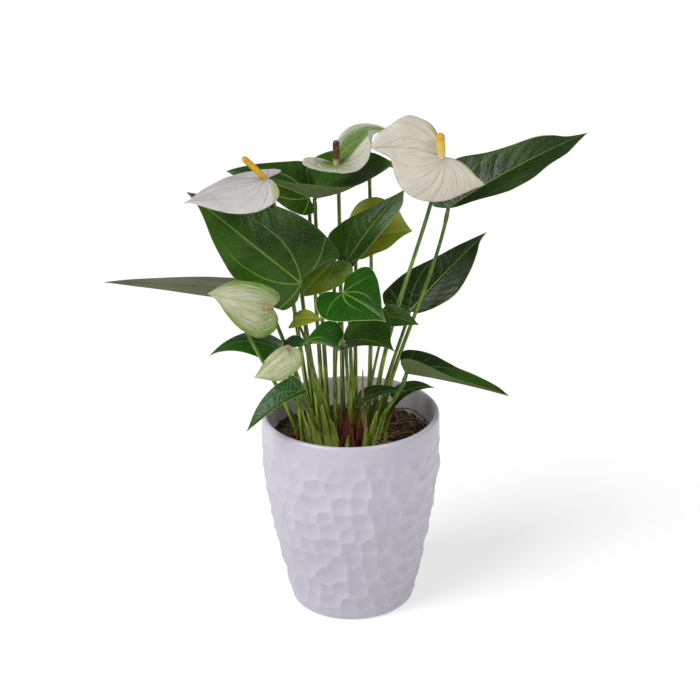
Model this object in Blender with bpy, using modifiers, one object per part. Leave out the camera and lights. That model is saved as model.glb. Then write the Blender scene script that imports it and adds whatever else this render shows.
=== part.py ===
"""Potted anthurium in a hammered ceramic pot, millimetres in the plan and metres in the file.

Origin: centre of the pot's flat foot, on the floor. +Z up, -Y towards the front, +X to the
right of somebody facing the front. Every leaf blade, petiole, spathe, spadix and flower
stalk is a body of its own, and so are the pot, the root ball and the papery crown sheath.
"""

import math

import bmesh
import bpy
import numpy as np

MM = 0.001
COLLECTION = "potted_anthurium"

# pot, outside radius at each height, foot to rim
POT_FOOT_FLAT = 44.0
POT_OUTSIDE = [(49.5, 5.5), (51.7, 20.0), (58.3, 50.0), (63.9, 80.0), (68.2, 110.0),
               (69.6, 130.0), (70.0, 148.0), (70.0, 159.5)]
POT_HEIGHT = 162.0
POT_WALL = 5.0
POT_FLOOR = 8.0
POT_STEPS = 48

# root ball of potting soil
SOIL_TOP = 140.0
SOIL_EDGE_DROP = 2.0
SOIL_GAP = 0.5

LEAF_THICKNESS = 0.8
SPATHE_THICKNESS = 0.8
STEM_STOP = 3.6
FOOT_GAP = 1.3
BLADE_ROWS = 8
BLADE_HALF_COLUMNS = 3
STEM_POINTS = 8

# half of a blade's outline: share of its length from the petiole, share of its half width
HEART = [(0.0, 0.02), (-0.35, 0.10), (-0.80, 0.30), (-1.0, 0.62), (-0.62, 0.93), (0.0, 1.0),
         (0.28, 0.93), (0.52, 0.72), (0.75, 0.41), (0.91, 0.14), (1.0, 0.0)]
SPATHE_LOW = [(0.0, 0.02), (-0.27, 0.06), (-0.42, 0.24), (-0.58, 0.46), (-0.45, 0.68),
              (-0.2, 0.86), (0.04, 1.0), (0.24, 1.0), (0.46, 0.9), (0.6, 0.68), (0.68, 0.4),
              (0.72, 0.24), (0.86, 0.1), (1.0, 0.0)]
SPATHE_HIGH = [(0.0, 0.02), (0.05, 0.35), (0.14, 0.72), (0.3, 0.96), (0.48, 1.0),
               (0.66, 0.87), (0.84, 0.62), (0.97, 0.36), (1.02, 0.15), (1.0, 0.0)]

# blades: petiole end, tip, the way the upper face looks, full width, then the shape:
# lobe = how far the basal lobes reach back, fold = each half's rise from the midrib (deg),
# arch = the midrib's bow (mm), left and right = share of the half width kept on each side
LEAVES = {
    "01": dict(base=(-36, -20, 277), tip=(-121, -5, 346), face=(-0.3, -0.75, 0.6), width=88,
               lobe=0.12, fold=8, arch=8, left=0.72),
    "02": dict(base=(-92, -4, 268), tip=(-186, -6, 275), face=(0, 0.6, 0.8), width=66,
               lobe=0.12, fold=-14, arch=2, left=0.8),
    "03": dict(base=(-52, 22, 203), tip=(-110, 18, 203), face=(0, -0.2, 1), width=42,
               lobe=0.15, fold=-15, arch=13),
    "04": dict(base=(-38, -48, 200), tip=(-79, -60, 173), face=(-0.3, -0.3, 0.9), width=32,
               lobe=0.1, fold=35, arch=4),
    "05": dict(base=(-4, -45, 278), tip=(27, -78, 268), face=(-0.1, -0.5, 0.85), width=58,
               lobe=0.42, fold=5, arch=4, right=0.9),
    "06": dict(base=(-1, 10, 282), tip=(43, 14, 339), face=(-0.3, -0.7, 0.6), width=52,
               lobe=0.15, fold=10, arch=6, right=0.6),
    "07": dict(base=(6, 34, 290), tip=(50, 30, 300), face=(0, -0.8, 0.6), width=60,
               lobe=0.1, fold=8, arch=6),
    "08": dict(base=(-9, -2, 289), tip=(-37, -8, 262), face=(0, -0.8, 0.6), width=36,
               lobe=0.2, fold=8, arch=3),
    "09": dict(base=(-42, -25, 249), tip=(-20, -33, 252), face=(0, -0.3, 0.9), width=22,
               lobe=0.1, fold=8, arch=2),
    "10": dict(base=(-33, -44, 239), tip=(-7, -60, 239), face=(0, -0.45, 0.9), width=44,
               lobe=0.75, fold=10, arch=3, right=0.5),
    "11": dict(base=(-3, -30, 233), tip=(34, -48, 232), face=(0.1, -0.3, 0.95), width=66,
               lobe=0.15, fold=20, arch=6, right=0.6, left=0.92),
    "12": dict(base=(27, -18, 249), tip=(53, -25, 244), face=(0, -0.6, 0.8), width=26,
               lobe=0.1, fold=10, arch=2, left=0.8, right=0.7),
    "13": dict(base=(47, 16, 239), tip=(109, 46, 293), face=(-0.1, -0.75, 0.65), width=58,
               lobe=0.14, fold=14, arch=4, left=0.85, right=0.6),
    "14": dict(base=(77, 20, 322), tip=(184, 40, 374), face=(-0.3, -0.5, 0.8), width=68,
               lobe=0.12, fold=25, arch=5, right=0.65),
    "15": dict(base=(-30, 34, 327), tip=(-93, 38, 348), face=(0, -0.6, 0.8), width=56,
               lobe=0.2, fold=5, arch=5, left=0.7),
    "16": dict(base=(-27, 14, 335), tip=(34, 22, 356), face=(0, -0.45, 0.88), width=66,
               lobe=0.45, fold=15, fold_right=62, arch=4, lobe_lift=0.28, right=0.6),
    "17": dict(base=(43, -40, 211), tip=(120, -52, 196), face=(0.1, -0.2, 1), width=42,
               lobe=0.08, fold=20, arch=5),
    "18": dict(base=(7, -17, 177), tip=(43, -27, 190), face=(-0.1, -0.35, 0.95), width=21,
               lobe=0.1, fold=10, arch=5, right=0.6),
    "19": dict(base=(36, 2, 171), tip=(66, 8, 177), face=(0, -0.3, 0.9), width=22,
               lobe=0.1, fold=10, arch=6, right=0.6),
    "20": dict(base=(17, 52, 346), tip=(44, 115, 322), face=(0, 0.42, 0.9), width=46,
               lobe=0.1, fold=8, arch=5),
    "21": dict(base=(-40, 40, 285), tip=(-75, 98, 256), face=(-0.2, 0.42, 0.9), width=62,
               lobe=0.2, fold=8, arch=5),
}
SPATHES = {
    "1": dict(base=(-62, -30, 363), tip=(-119, -40, 347), face=(-0.2, -0.5, 0.85), width=58,
              lobe=0.22, fold=0, fold_right=-35, arch=2, left=1.15, right=0.8),
    "2": dict(base=(-8, 14, 366), tip=(28, 32, 388), face=(-0.35, -0.35, 0.87), width=46,
              lobe=0.5, fold=50, fold_right=8, arch=-3, left=0.8),
    "3": dict(base=(73, -20, 382), tip=(17, -24, 383), face=(0.1, -0.85, 0.5), width=74,
              lobe=1.0, fold=8, fold_right=0, arch=2, right=0.86,
              left_outline=SPATHE_LOW, right_outline=SPATHE_HIGH),
    "4": dict(base=(-58, -48, 269), tip=(-105, -52, 282), face=(-0.1, -0.9, 0.4), width=42,
              lobe=0.2, fold=10, arch=3),
    "5": dict(base=(-45, -70, 246), tip=(-71, -76, 224), face=(0.1, -0.8, 0.5), width=26,
              lobe=0.3, fold=-10, arch=2, left=1.1, right=0.7),
}

# spadices: the way each one points from its spathe's base, length, radius
SPADICES = {
    "1": dict(way=(-0.62, -0.25, 0.74), length=26, radius=2.3),
    "2": dict(way=(0.0, -0.1, 1.0), length=20, radius=2.5),
    "3": dict(way=(-0.08, -0.25, 0.97), length=21, radius=3.2),
    "4": dict(way=(-0.55, -0.8, 0.2), length=7, radius=1.6),
    "5": dict(way=(-0.5, -0.8, 0.1), length=6, radius=1.4),
}
SPADIX_GAP = 1.2

# stems: foot on the soil, sideways bow, and shifts of the curve's two handles where the
# stem has to pass around a neighbour
STEMS = {
    "petiole_01": dict(foot=(-24, -12), bow=(-2, 22), stop=4.4),
    "petiole_02": dict(foot=(-41, -6), bow=(-4, -10)),
    "petiole_03": dict(foot=(-38, 10), bow=(-2, 4)),
    "petiole_04": dict(foot=(-22, -22)),
    "petiole_05": dict(foot=(-8, -14), bow=(-8, 8)),
    "petiole_06": dict(foot=(2, -6), reach=(0, 14, 0), stop=5.0),
    "petiole_07": dict(foot=(4, 14), bow=(0, 4), reach=(0, 8, 0)),
    "petiole_08": dict(foot=(-12, 4)),
    "petiole_09": dict(foot=(-20, -18), low=(-22, -12, 190), high=(-37, 1, 241)),
    "petiole_10": dict(foot=(-14, -22)),
    "petiole_11": dict(foot=(0, -22)),
    "petiole_12": dict(foot=(11, -5), bow=(0, 4)),
    "petiole_13": dict(foot=(22, 14), bow=(0, 2), reach=(0, 8, 0)),
    "petiole_14": dict(foot=(22, 6), bow=(4, -15)),
    "petiole_15": dict(foot=(-22, 14)),
    "petiole_16": dict(foot=(-18, 4), bow=(0, 6)),
    "petiole_17": dict(foot=(15, -16), bow=(4, -4)),
    "petiole_18": dict(foot=(6, -17)),
    "petiole_19": dict(foot=(27, -4)),
    "petiole_20": dict(foot=(14, 20), bow=(4, 14)),
    "petiole_21": dict(foot=(-30, 20), bow=(0, 4)),
    "flower_stalk_1": dict(foot=(-30, 12), low=(-40, 16, 220), high=(-52, 22, 325)),
    "flower_stalk_2": dict(foot=(-6, 12), low=(-6, 30, 240), high=(-7, 96, 412), stop=5.2),
    "flower_stalk_3": dict(foot=(17, -2), bow=(0, 2)),
    "flower_stalk_4": dict(foot=(-28, -22), bow=(-2, 10), reach=(0, 16, 0)),
    "flower_stalk_5": dict(foot=(-38, -20), bow=(0, 12), reach=(0, 24, 0)),
}
PETIOLE_RADII = (2.1, 1.4)
STALK_RADII = (2.0, 1.5)
THIN_RADII = (1.6, 1.1)
THIN_STEMS = ("petiole_09", "petiole_12", "petiole_18", "petiole_19", "flower_stalk_5")

SHEATH_FOOT = (2.0, -29.0)
SHEATH_HEIGHT = 42.0
SHEATH_WIDTH = 11.0
SHEATH_THICKNESS = 0.8

LEAF_TONES = {
    "dark": ("01", "06", "11", "12", "13", "14", "15", "16", "17", "18", "19", "20", "21"),
    "bright": ("03", "04", "05", "10"),
    "young": ("07", "08", "09"),
    "back": ("02",),
}
TONE_COLOURS = {
    "dark": (0.035, 0.12, 0.03),
    "bright": (0.04, 0.2, 0.02),
    "young": (0.25, 0.38, 0.06),
    "back": (0.16, 0.22, 0.12),
}


def clear_scene():
    for item in list(bpy.data.objects):
        bpy.data.objects.remove(item, do_unlink=True)


def new_collection():
    made = bpy.data.collections.new(COLLECTION)
    bpy.context.scene.collection.children.link(made)
    return made


def material(name, colour, roughness):
    found = bpy.data.materials.get(name)
    if found:
        return found
    made = bpy.data.materials.new(name)
    made.use_nodes = True
    shader = made.node_tree.nodes["Principled BSDF"]
    shader.inputs["Base Color"].default_value = (*colour, 1.0)
    shader.inputs["Roughness"].default_value = roughness
    shader.inputs["Metallic"].default_value = 0.0
    return made


def add_object(name, data, home, skin):
    data.materials.append(skin)
    made = bpy.data.objects.new(name, data)
    home.objects.link(made)
    return made


def unit(vector):
    vector = np.array(vector, float)
    return vector / np.linalg.norm(vector)


def smooth_through(points, count):
    """Catmull-Rom curve through the points, cut into even steps."""
    at = np.array(points, float)
    held = np.vstack([2 * at[0] - at[1], at, 2 * at[-1] - at[-2]])
    run = []
    for i in range(len(at) - 1):
        a, b, c, d = held[i:i + 4]
        for u in np.linspace(0, 1, 24, endpoint=False):
            cubic = 3 * b - a - 3 * c + d
            square = 2 * a - 5 * b + 4 * c - d
            run.append(0.5 * (2 * b + (c - a) * u + square * u * u + cubic * u ** 3))
    run.append(at[-1])
    run = np.array(run)
    steps = np.linalg.norm(np.diff(run, axis=0), axis=1)
    along = np.concatenate([[0], np.cumsum(steps)])
    even = np.linspace(0, along[-1], count)
    return np.stack([np.interp(even, along, run[:, k]) for k in range(run.shape[1])], 1)


def blade_grid(base, tip, face, width, lobe=0.2, fold=15, fold_right=None, arch=6,
               lobe_lift=0.0, left=1.0, right=1.0, left_outline=HEART, right_outline=HEART):
    """Rows run from the petiole round the lobe to the tip, columns from edge to edge."""
    base = np.array(base, float)
    tip = np.array(tip, float)
    length = np.linalg.norm(tip - base)
    along = (tip - base) / length
    up = np.array(face, float)
    up = unit(up - up.dot(along) * along)
    across = np.cross(up, along)
    left_edge = smooth_through(left_outline, BLADE_ROWS + 1)
    right_edge = smooth_through(right_outline, BLADE_ROWS + 1)
    t = np.linspace(0, 1, BLADE_ROWS + 1)[:, None]
    rib = np.clip((t - 0.12) / 0.88, 0, 1) ** 1.2
    s = np.linspace(-1, 1, 2 * BLADE_HALF_COLUMNS + 1)[None, :]
    edge_x = np.where(s < 0, right_edge[:, :1], left_edge[:, :1])
    edge_x = np.where(edge_x < 0, edge_x * lobe, edge_x)
    edge_y = np.where(s < 0, right_edge[:, 1:], left_edge[:, 1:])
    share = rib * (1 - abs(s)) + edge_x * abs(s)
    side = edge_y * s * np.where(s < 0, right, left) * width / 2
    turn = np.radians(np.where(s < 0, fold if fold_right is None else fold_right, fold))
    rise = np.sqrt((side * np.sin(turn)) ** 2 + 4) - 2
    height = rise * np.sign(turn)
    height = height + arch * 4 * share * (1 - share) * np.where(share > 0, 1, 0.5)
    height = height + lobe_lift * np.clip(-share, 0, 1) * length
    spread = side * np.cos(turn)
    return (base + (share * length)[..., None] * along + spread[..., None] * across
            + height[..., None] * up)


def sheet_object(name, grid, thickness, home, skin):
    """Close a blade's surface at the petiole and the tip, then give it a thickness."""
    rows, columns = grid.shape[:2]
    middle = columns // 2
    mesh = bpy.data.meshes.new(name)
    work = bmesh.new()
    first = work.verts.new(grid[0, middle] * MM)
    last = work.verts.new(grid[-1, middle] * MM)
    inner = [[work.verts.new(point * MM) for point in row] for row in grid[1:-1]]
    for j in range(columns - 1):
        work.faces.new((first, inner[0][j], inner[0][j + 1]))
        work.faces.new((last, inner[-1][j + 1], inner[-1][j]))
    for i in range(rows - 3):
        for j in range(columns - 1):
            work.faces.new((inner[i][j], inner[i + 1][j], inner[i + 1][j + 1], inner[i][j + 1]))
    bmesh.ops.recalc_face_normals(work, faces=work.faces)
    work.to_mesh(mesh)
    work.free()
    made = add_object(name, mesh, home, skin)
    thick = made.modifiers.new("thickness", "SOLIDIFY")
    thick.thickness = thickness * MM
    thick.offset = 0.0
    thick.use_even_offset = False
    return made


def stem_points(name, plan):
    """Cubic curve from the foot on the soil to just short of its blade."""
    kind, number = name.rsplit("_", 1)
    blade = (LEAVES if kind == "petiole" else SPATHES)[number]
    top = np.array(blade["base"], float)
    foot = np.array([*plan["foot"], SOIL_TOP + FOOT_GAP])
    bow = np.array([*plan.get("bow", (0, 0)), 0.0])
    flat = (top - foot) * (1, 1, 0)
    rise = np.array([0, 0, top[2] - foot[2]])
    reach = np.array(plan.get("reach", (0, 0, 0)), float)
    low = foot + 0.38 * rise + bow + 0.10 * flat
    high = top - 0.30 * rise - 0.22 * flat + 0.6 * bow + reach
    low = np.array(plan.get("low", low), float)
    high = np.array(plan.get("high", high), float)
    u = np.linspace(0, 1, 97)[:, None]
    curve = ((1 - u) ** 3 * foot + 3 * u * (1 - u) ** 2 * low
             + 3 * u * u * (1 - u) * high + u ** 3 * top)
    steps = np.linalg.norm(np.diff(curve, axis=0), axis=1)
    along = np.concatenate([[0], np.cumsum(steps)])
    even = np.linspace(0, along[-1] - plan.get("stop", STEM_STOP), STEM_POINTS)
    return np.stack([np.interp(even, along, curve[:, k]) for k in range(3)], 1)


def stem_object(name, plan, home, skin):
    points = stem_points(name, plan)
    wide, narrow = PETIOLE_RADII if name.startswith("petiole") else STALK_RADII
    if name in THIN_STEMS:
        wide, narrow = THIN_RADII
    curve = bpy.data.curves.new(name, "CURVE")
    curve.dimensions = "3D"
    curve.bevel_depth = MM
    curve.bevel_resolution = 2
    curve.use_fill_caps = True
    line = curve.splines.new("POLY")
    line.points.add(len(points) - 1)
    for i, point in enumerate(points):
        line.points[i].co = (*(point * MM), 1.0)
        line.points[i].radius = wide + (narrow - wide) * min(1.6 * i / (len(points) - 1), 1)
    return add_object(name, curve, home, skin)


def turned_object(name, profile, home, skin, steps):
    """Screw a half outline, listed from the top down on the +X side, about the Z axis."""
    mesh = bpy.data.meshes.new(name)
    points = [(radius * MM, 0.0, height * MM) for radius, height in profile]
    edges = [(i, i + 1) for i in range(len(points) - 1)]
    mesh.from_pydata(points, edges, [])
    made = add_object(name, mesh, home, skin)
    turn = made.modifiers.new("turn", "SCREW")
    turn.axis = "Z"
    turn.angle = math.tau
    turn.steps = steps
    turn.render_steps = steps
    turn.use_merge_vertices = True
    turn.merge_threshold = 0.00001
    turn.use_normal_calculate = True
    return made


def pot_wall_radius(height):
    """Inside radius of the pot at a height."""
    heights = [z for r, z in POT_OUTSIDE]
    radii = [r for r, z in POT_OUTSIDE]
    return float(np.interp(height, heights, radii)) - POT_WALL


def add_pot(home):
    skin = material("glazed_ceramic", (0.62, 0.58, 0.66), 0.35)
    inside = [(POT_OUTSIDE[-1][0] - POT_WALL + 0.6, 161.0)]
    inside += [(pot_wall_radius(z), z) for z in (158.0, 130.0, 110.0, 80.0, 50.0, 20.0, 12.0)]
    inside += [(pot_wall_radius(12.0) - 3.5, POT_FLOOR), (0.0, POT_FLOOR)]
    rim = [(66.6, POT_HEIGHT), (68.4, POT_HEIGHT)]
    outside = list(reversed(POT_OUTSIDE))
    foot = [(47.6, 1.6), (POT_FOOT_FLAT, 0.0), (0.0, 0.0)]
    profile = list(reversed(inside)) + rim + outside + foot
    turned_object("pot", profile, home, skin, POT_STEPS)


def add_root_ball(home):
    skin = material("potting_soil", (0.07, 0.045, 0.03), 0.95)
    low = POT_FLOOR + SOIL_GAP
    side = [(pot_wall_radius(z) - SOIL_GAP, z) for z in (110.0, 80.0, 50.0, 20.0)]
    edge = pot_wall_radius(SOIL_TOP) - SOIL_GAP
    profile = [(0.0, SOIL_TOP), (50.0, SOIL_TOP), (edge, SOIL_TOP - SOIL_EDGE_DROP)]
    profile += side + [(pot_wall_radius(12.0) - 4.5, low), (0.0, low)]
    turned_object("root_ball", profile, home, skin, POT_STEPS)


def add_leaves(home):
    for tone, numbers in LEAF_TONES.items():
        skin = material("leaf_" + tone, TONE_COLOURS[tone], 0.35)
        for number in numbers:
            grid = blade_grid(**LEAVES[number])
            sheet_object("leaf_" + number, grid, LEAF_THICKNESS, home, skin)


def add_spathes(home):
    white = material("spathe_white", (0.78, 0.76, 0.72), 0.45)
    green = material("spathe_green", (0.6, 0.66, 0.42), 0.45)
    for number, plan in SPATHES.items():
        skin = green if number in ("2", "4", "5") else white
        sheet_object("spathe_" + number, blade_grid(**plan), SPATHE_THICKNESS, home, skin)


def add_stems(home):
    green = material("petiole_green", (0.12, 0.26, 0.05), 0.45)
    for name, plan in STEMS.items():
        stem_object(name, plan, home, green)


def spadix_object(name, plan, spathe, home, skin):
    """Blunt rod that stands just clear of its spathe."""
    way = unit(plan["way"])
    off = SPADIX_GAP + 0.9 * plan["radius"]
    start = np.array(spathe["base"], float) + unit(spathe["face"]) * off
    shares = (0.0, 0.5, 0.85, 0.96)
    widths = (0.8, 1.0, 0.92, 0.6)
    curve = bpy.data.curves.new(name, "CURVE")
    curve.dimensions = "3D"
    curve.bevel_depth = MM
    curve.bevel_resolution = 2
    curve.use_fill_caps = True
    line = curve.splines.new("POLY")
    line.points.add(len(shares) - 1)
    for i, share in enumerate(shares):
        point = start + way * plan["length"] * share
        line.points[i].co = (*(point * MM), 1.0)
        line.points[i].radius = plan["radius"] * widths[i]
    return add_object(name, curve, home, skin)


def add_spadices(home):
    yellow = material("spadix_yellow", (0.75, 0.45, 0.08), 0.6)
    brown = material("spadix_brown", (0.16, 0.06, 0.05), 0.7)
    tan = material("spadix_tan", (0.55, 0.42, 0.24), 0.6)
    skins = {"1": yellow, "2": brown, "3": yellow, "4": tan, "5": tan}
    for number, plan in SPADICES.items():
        spadix_object("spadix_" + number, plan, SPATHES[number], home, skins[number])


def add_sheath(home):
    """Dry papery scale that wraps the front of the crown, a channel tapering upwards."""
    skin = material("dry_sheath", (0.22, 0.06, 0.03), 0.8)
    rows, columns = 6, 5
    grid = np.zeros((rows, columns, 3))
    for i, t in enumerate(np.linspace(0, 1, rows)):
        half = SHEATH_WIDTH / 2 * (1 - 0.9 * t ** 2)
        for j, s in enumerate(np.linspace(-1, 1, columns)):
            x = SHEATH_FOOT[0] + half * s + 2 * t
            y = SHEATH_FOOT[1] + 2.0 * s * s - 3.0 * t * t
            grid[i, j] = (x, y, SOIL_TOP + 1 + SHEATH_HEIGHT * t)
    mesh = bpy.data.meshes.new("crown_sheath")
    points = [tuple(p * MM) for p in grid.reshape(-1, 3)]
    faces = []
    for i in range(rows - 1):
        for j in range(columns - 1):
            a = i * columns + j
            faces.append((a, a + 1, a + columns + 1, a + columns))
    mesh.from_pydata(points, [], faces)
    made = add_object("crown_sheath", mesh, home, skin)
    thick = made.modifiers.new("thickness", "SOLIDIFY")
    thick.thickness = SHEATH_THICKNESS * MM
    thick.offset = 0.0


def main():
    clear_scene()
    home = new_collection()
    add_pot(home)
    add_root_ball(home)
    add_leaves(home)
    add_spathes(home)
    add_stems(home)
    add_spadices(home)
    add_sheath(home)


main()
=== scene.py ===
"""Potted anthurium: fine leaves, spathes, spadices, stems, soil and hammered pot."""

import math

import bmesh
import bpy
import numpy as np
from mathutils import Matrix, Vector


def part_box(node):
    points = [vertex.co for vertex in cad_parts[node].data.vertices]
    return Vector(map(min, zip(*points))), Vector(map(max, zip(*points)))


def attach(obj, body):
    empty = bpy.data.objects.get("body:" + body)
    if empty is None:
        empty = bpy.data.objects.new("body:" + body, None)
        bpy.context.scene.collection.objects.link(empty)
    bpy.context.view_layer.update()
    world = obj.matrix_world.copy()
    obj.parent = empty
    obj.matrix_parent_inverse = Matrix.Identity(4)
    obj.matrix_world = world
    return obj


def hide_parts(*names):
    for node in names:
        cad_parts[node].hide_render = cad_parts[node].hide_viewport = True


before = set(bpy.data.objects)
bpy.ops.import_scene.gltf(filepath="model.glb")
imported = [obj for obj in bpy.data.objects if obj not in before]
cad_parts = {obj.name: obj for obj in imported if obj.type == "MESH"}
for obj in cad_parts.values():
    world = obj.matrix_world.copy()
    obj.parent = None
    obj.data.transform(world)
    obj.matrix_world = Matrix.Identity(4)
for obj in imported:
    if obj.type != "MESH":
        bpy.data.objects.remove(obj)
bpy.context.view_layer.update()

MM = 0.001
BODY = "root"
FIRST_SEED = 4021

# ---------------------------------------------------------------- the plan, lengths in millimetres

POT_OUTSIDE = [(49.5, 5.5), (51.7, 20.0), (58.3, 50.0), (63.9, 80.0), (68.2, 110.0),
               (69.6, 130.0), (70.0, 148.0), (70.0, 159.5)]
POT_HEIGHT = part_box("pot")[1].z / MM
POT_WALL = 5.0
POT_FLOOR = 8.0
SOIL_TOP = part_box("root_ball")[1].z / MM
CELL_WIDTH = 13.2
CELL_HEIGHT = 13.6
DISH_CURVE = 18.0
RIDGE_SHARPNESS = 22.0
MARKS_TOP = 153.0
MARKS_FADE = 18.0
POT_SIDES = 448
POT_ROWS = 168

BACKDROP_LIGHT = 0.27
BACKDROP_SEEN = 0.68
FLOOR_GLOW = 0.56

BLADE_ROWS = 84
BLADE_HALF_COLUMNS = 26
LATERALS = 13
SWEEP = 0.2
# ring veins: turn about the stem joint in radians, bent on with distance; strength
FAN_VEINS = ((0.78, 0.95), (1.75, 0.8))
VEIN_BEND = 0.95
SPATHE_VEINS = 2.3
VEIN_RELIEF = 0.45
MARGIN_WAVES = 2.2
LEAF_THICKNESS = 0.55
LEAF_RIDGE = 0.7
SPATHE_THICKNESS = 0.6
SPATHE_RIDGE = 0.5
LEAF_SHINE = 0.24
LATERAL_STRENGTH = 0.08
BLEMISH = (0.16, 0.13, 0.04)
FLORET_PITCH = 1.15

HEART = [(0.0, 0.02), (-0.35, 0.10), (-0.80, 0.30), (-1.0, 0.62), (-0.62, 0.93), (0.0, 1.0),
         (0.28, 0.93), (0.52, 0.72), (0.75, 0.41), (0.91, 0.14), (1.0, 0.0)]

# blades: petiole end, tip, the way the upper face looks, full width, then the shape:
# lobe = how far the basal lobes reach back, fold = each half's rise from the midrib (deg),
# arch = the midrib's bow, left and right = share of the half width kept on each side;
# a blade in OUTLINES goes by its own margins, number 16 is FOLDED_LEAF
LEAVES = {
    "01": dict(base=(-36, -20, 277), tip=(-121, -5, 346), face=(-0.3, -0.75, 0.6), width=88,
               fold=-12, arch=8),
    "02": dict(base=(-92, -4, 268), tip=(-186, -6, 275), face=(0, 0.6, 0.8), width=66,
               lobe=0.12, fold=0, arch=1, left=0.78, right=0.85),
    "03": dict(base=(-52, 22, 203), tip=(-110, 18, 203), face=(0, -0.2, 1), width=42,
               lobe=0.15, fold=-15, arch=13),
    "04": dict(base=(-38, -48, 200), tip=(-79, -60, 173), face=(-0.3, -0.3, 0.9), width=32,
               lobe=0.1, fold=35, arch=4),
    "05": dict(base=(-4, -45, 278), tip=(27, -78, 268), face=(-0.1, -0.5, 0.85), width=58,
               fold=5, arch=4),
    "06": dict(base=(-1, 10, 282), tip=(43, 14, 339), face=(-0.3, -0.7, 0.6), width=52,
               fold=10, arch=6),
    "07": dict(base=(6, 34, 290), tip=(50, 30, 300), face=(0, -0.8, 0.6), width=60,
               fold=8, arch=6),
    "08": dict(base=(-11, 8, 284), tip=(-38, 2, 257), face=(0, -0.8, 0.6), width=36,
               lobe=0.2, fold=8, arch=3),
    "09": dict(base=(-42, -25, 249), tip=(-20, -33, 252), face=(0, -0.3, 0.9), width=22,
               lobe=0.1, fold=8, arch=2),
    "10": dict(base=(-33, -44, 239), tip=(-7, -60, 239), face=(0, -0.45, 0.9), width=44,
               fold=10, arch=3),
    "11": dict(base=(-3, -30, 233), tip=(34, -48, 232), face=(0.1, -0.3, 0.95), width=66,
               fold=20, arch=6),
    "12": dict(base=(27, -18, 249), tip=(53, -25, 244), face=(0, -0.6, 0.8), width=26,
               lobe=0.1, fold=10, arch=2, left=0.8, right=0.7),
    "13": dict(base=(47, 16, 239), tip=(109, 46, 293), face=(-0.1, -0.75, 0.65), width=58,
               fold=14, arch=4),
    "14": dict(base=(77, 20, 322), tip=(184, 40, 374), face=(-0.3, -0.5, 0.8), width=68,
               fold=25, arch=5),
    "15": dict(base=(-30, 34, 327), tip=(-93, 38, 348), face=(0, -0.6, 0.8), width=56,
               fold=5, arch=5),
    "17": dict(base=(43, -40, 211), tip=(120, -52, 196), face=(0.1, -0.2, 1), width=42,
               fold=20, fold_right=70, arch=2),
    "18": dict(base=(7, -17, 177), tip=(43, -27, 190), face=(-0.1, -0.35, 0.95), width=21,
               lobe=0.1, fold=10, arch=5, right=0.6),
    "19": dict(base=(36, 2, 171), tip=(66, 8, 177), face=(0, -0.3, 0.9), width=22,
               lobe=0.1, fold=10, arch=6, right=0.6),
    "20": dict(base=(17, 52, 346), tip=(44, 115, 322), face=(0, 0.42, 0.9), width=46,
               lobe=0.1, fold=8, arch=5),
    "21": dict(base=(-40, 40, 285), tip=(-75, 98, 256), face=(-0.2, 0.42, 0.9), width=62,
               lobe=0.2, fold=8, arch=5),
}

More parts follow.
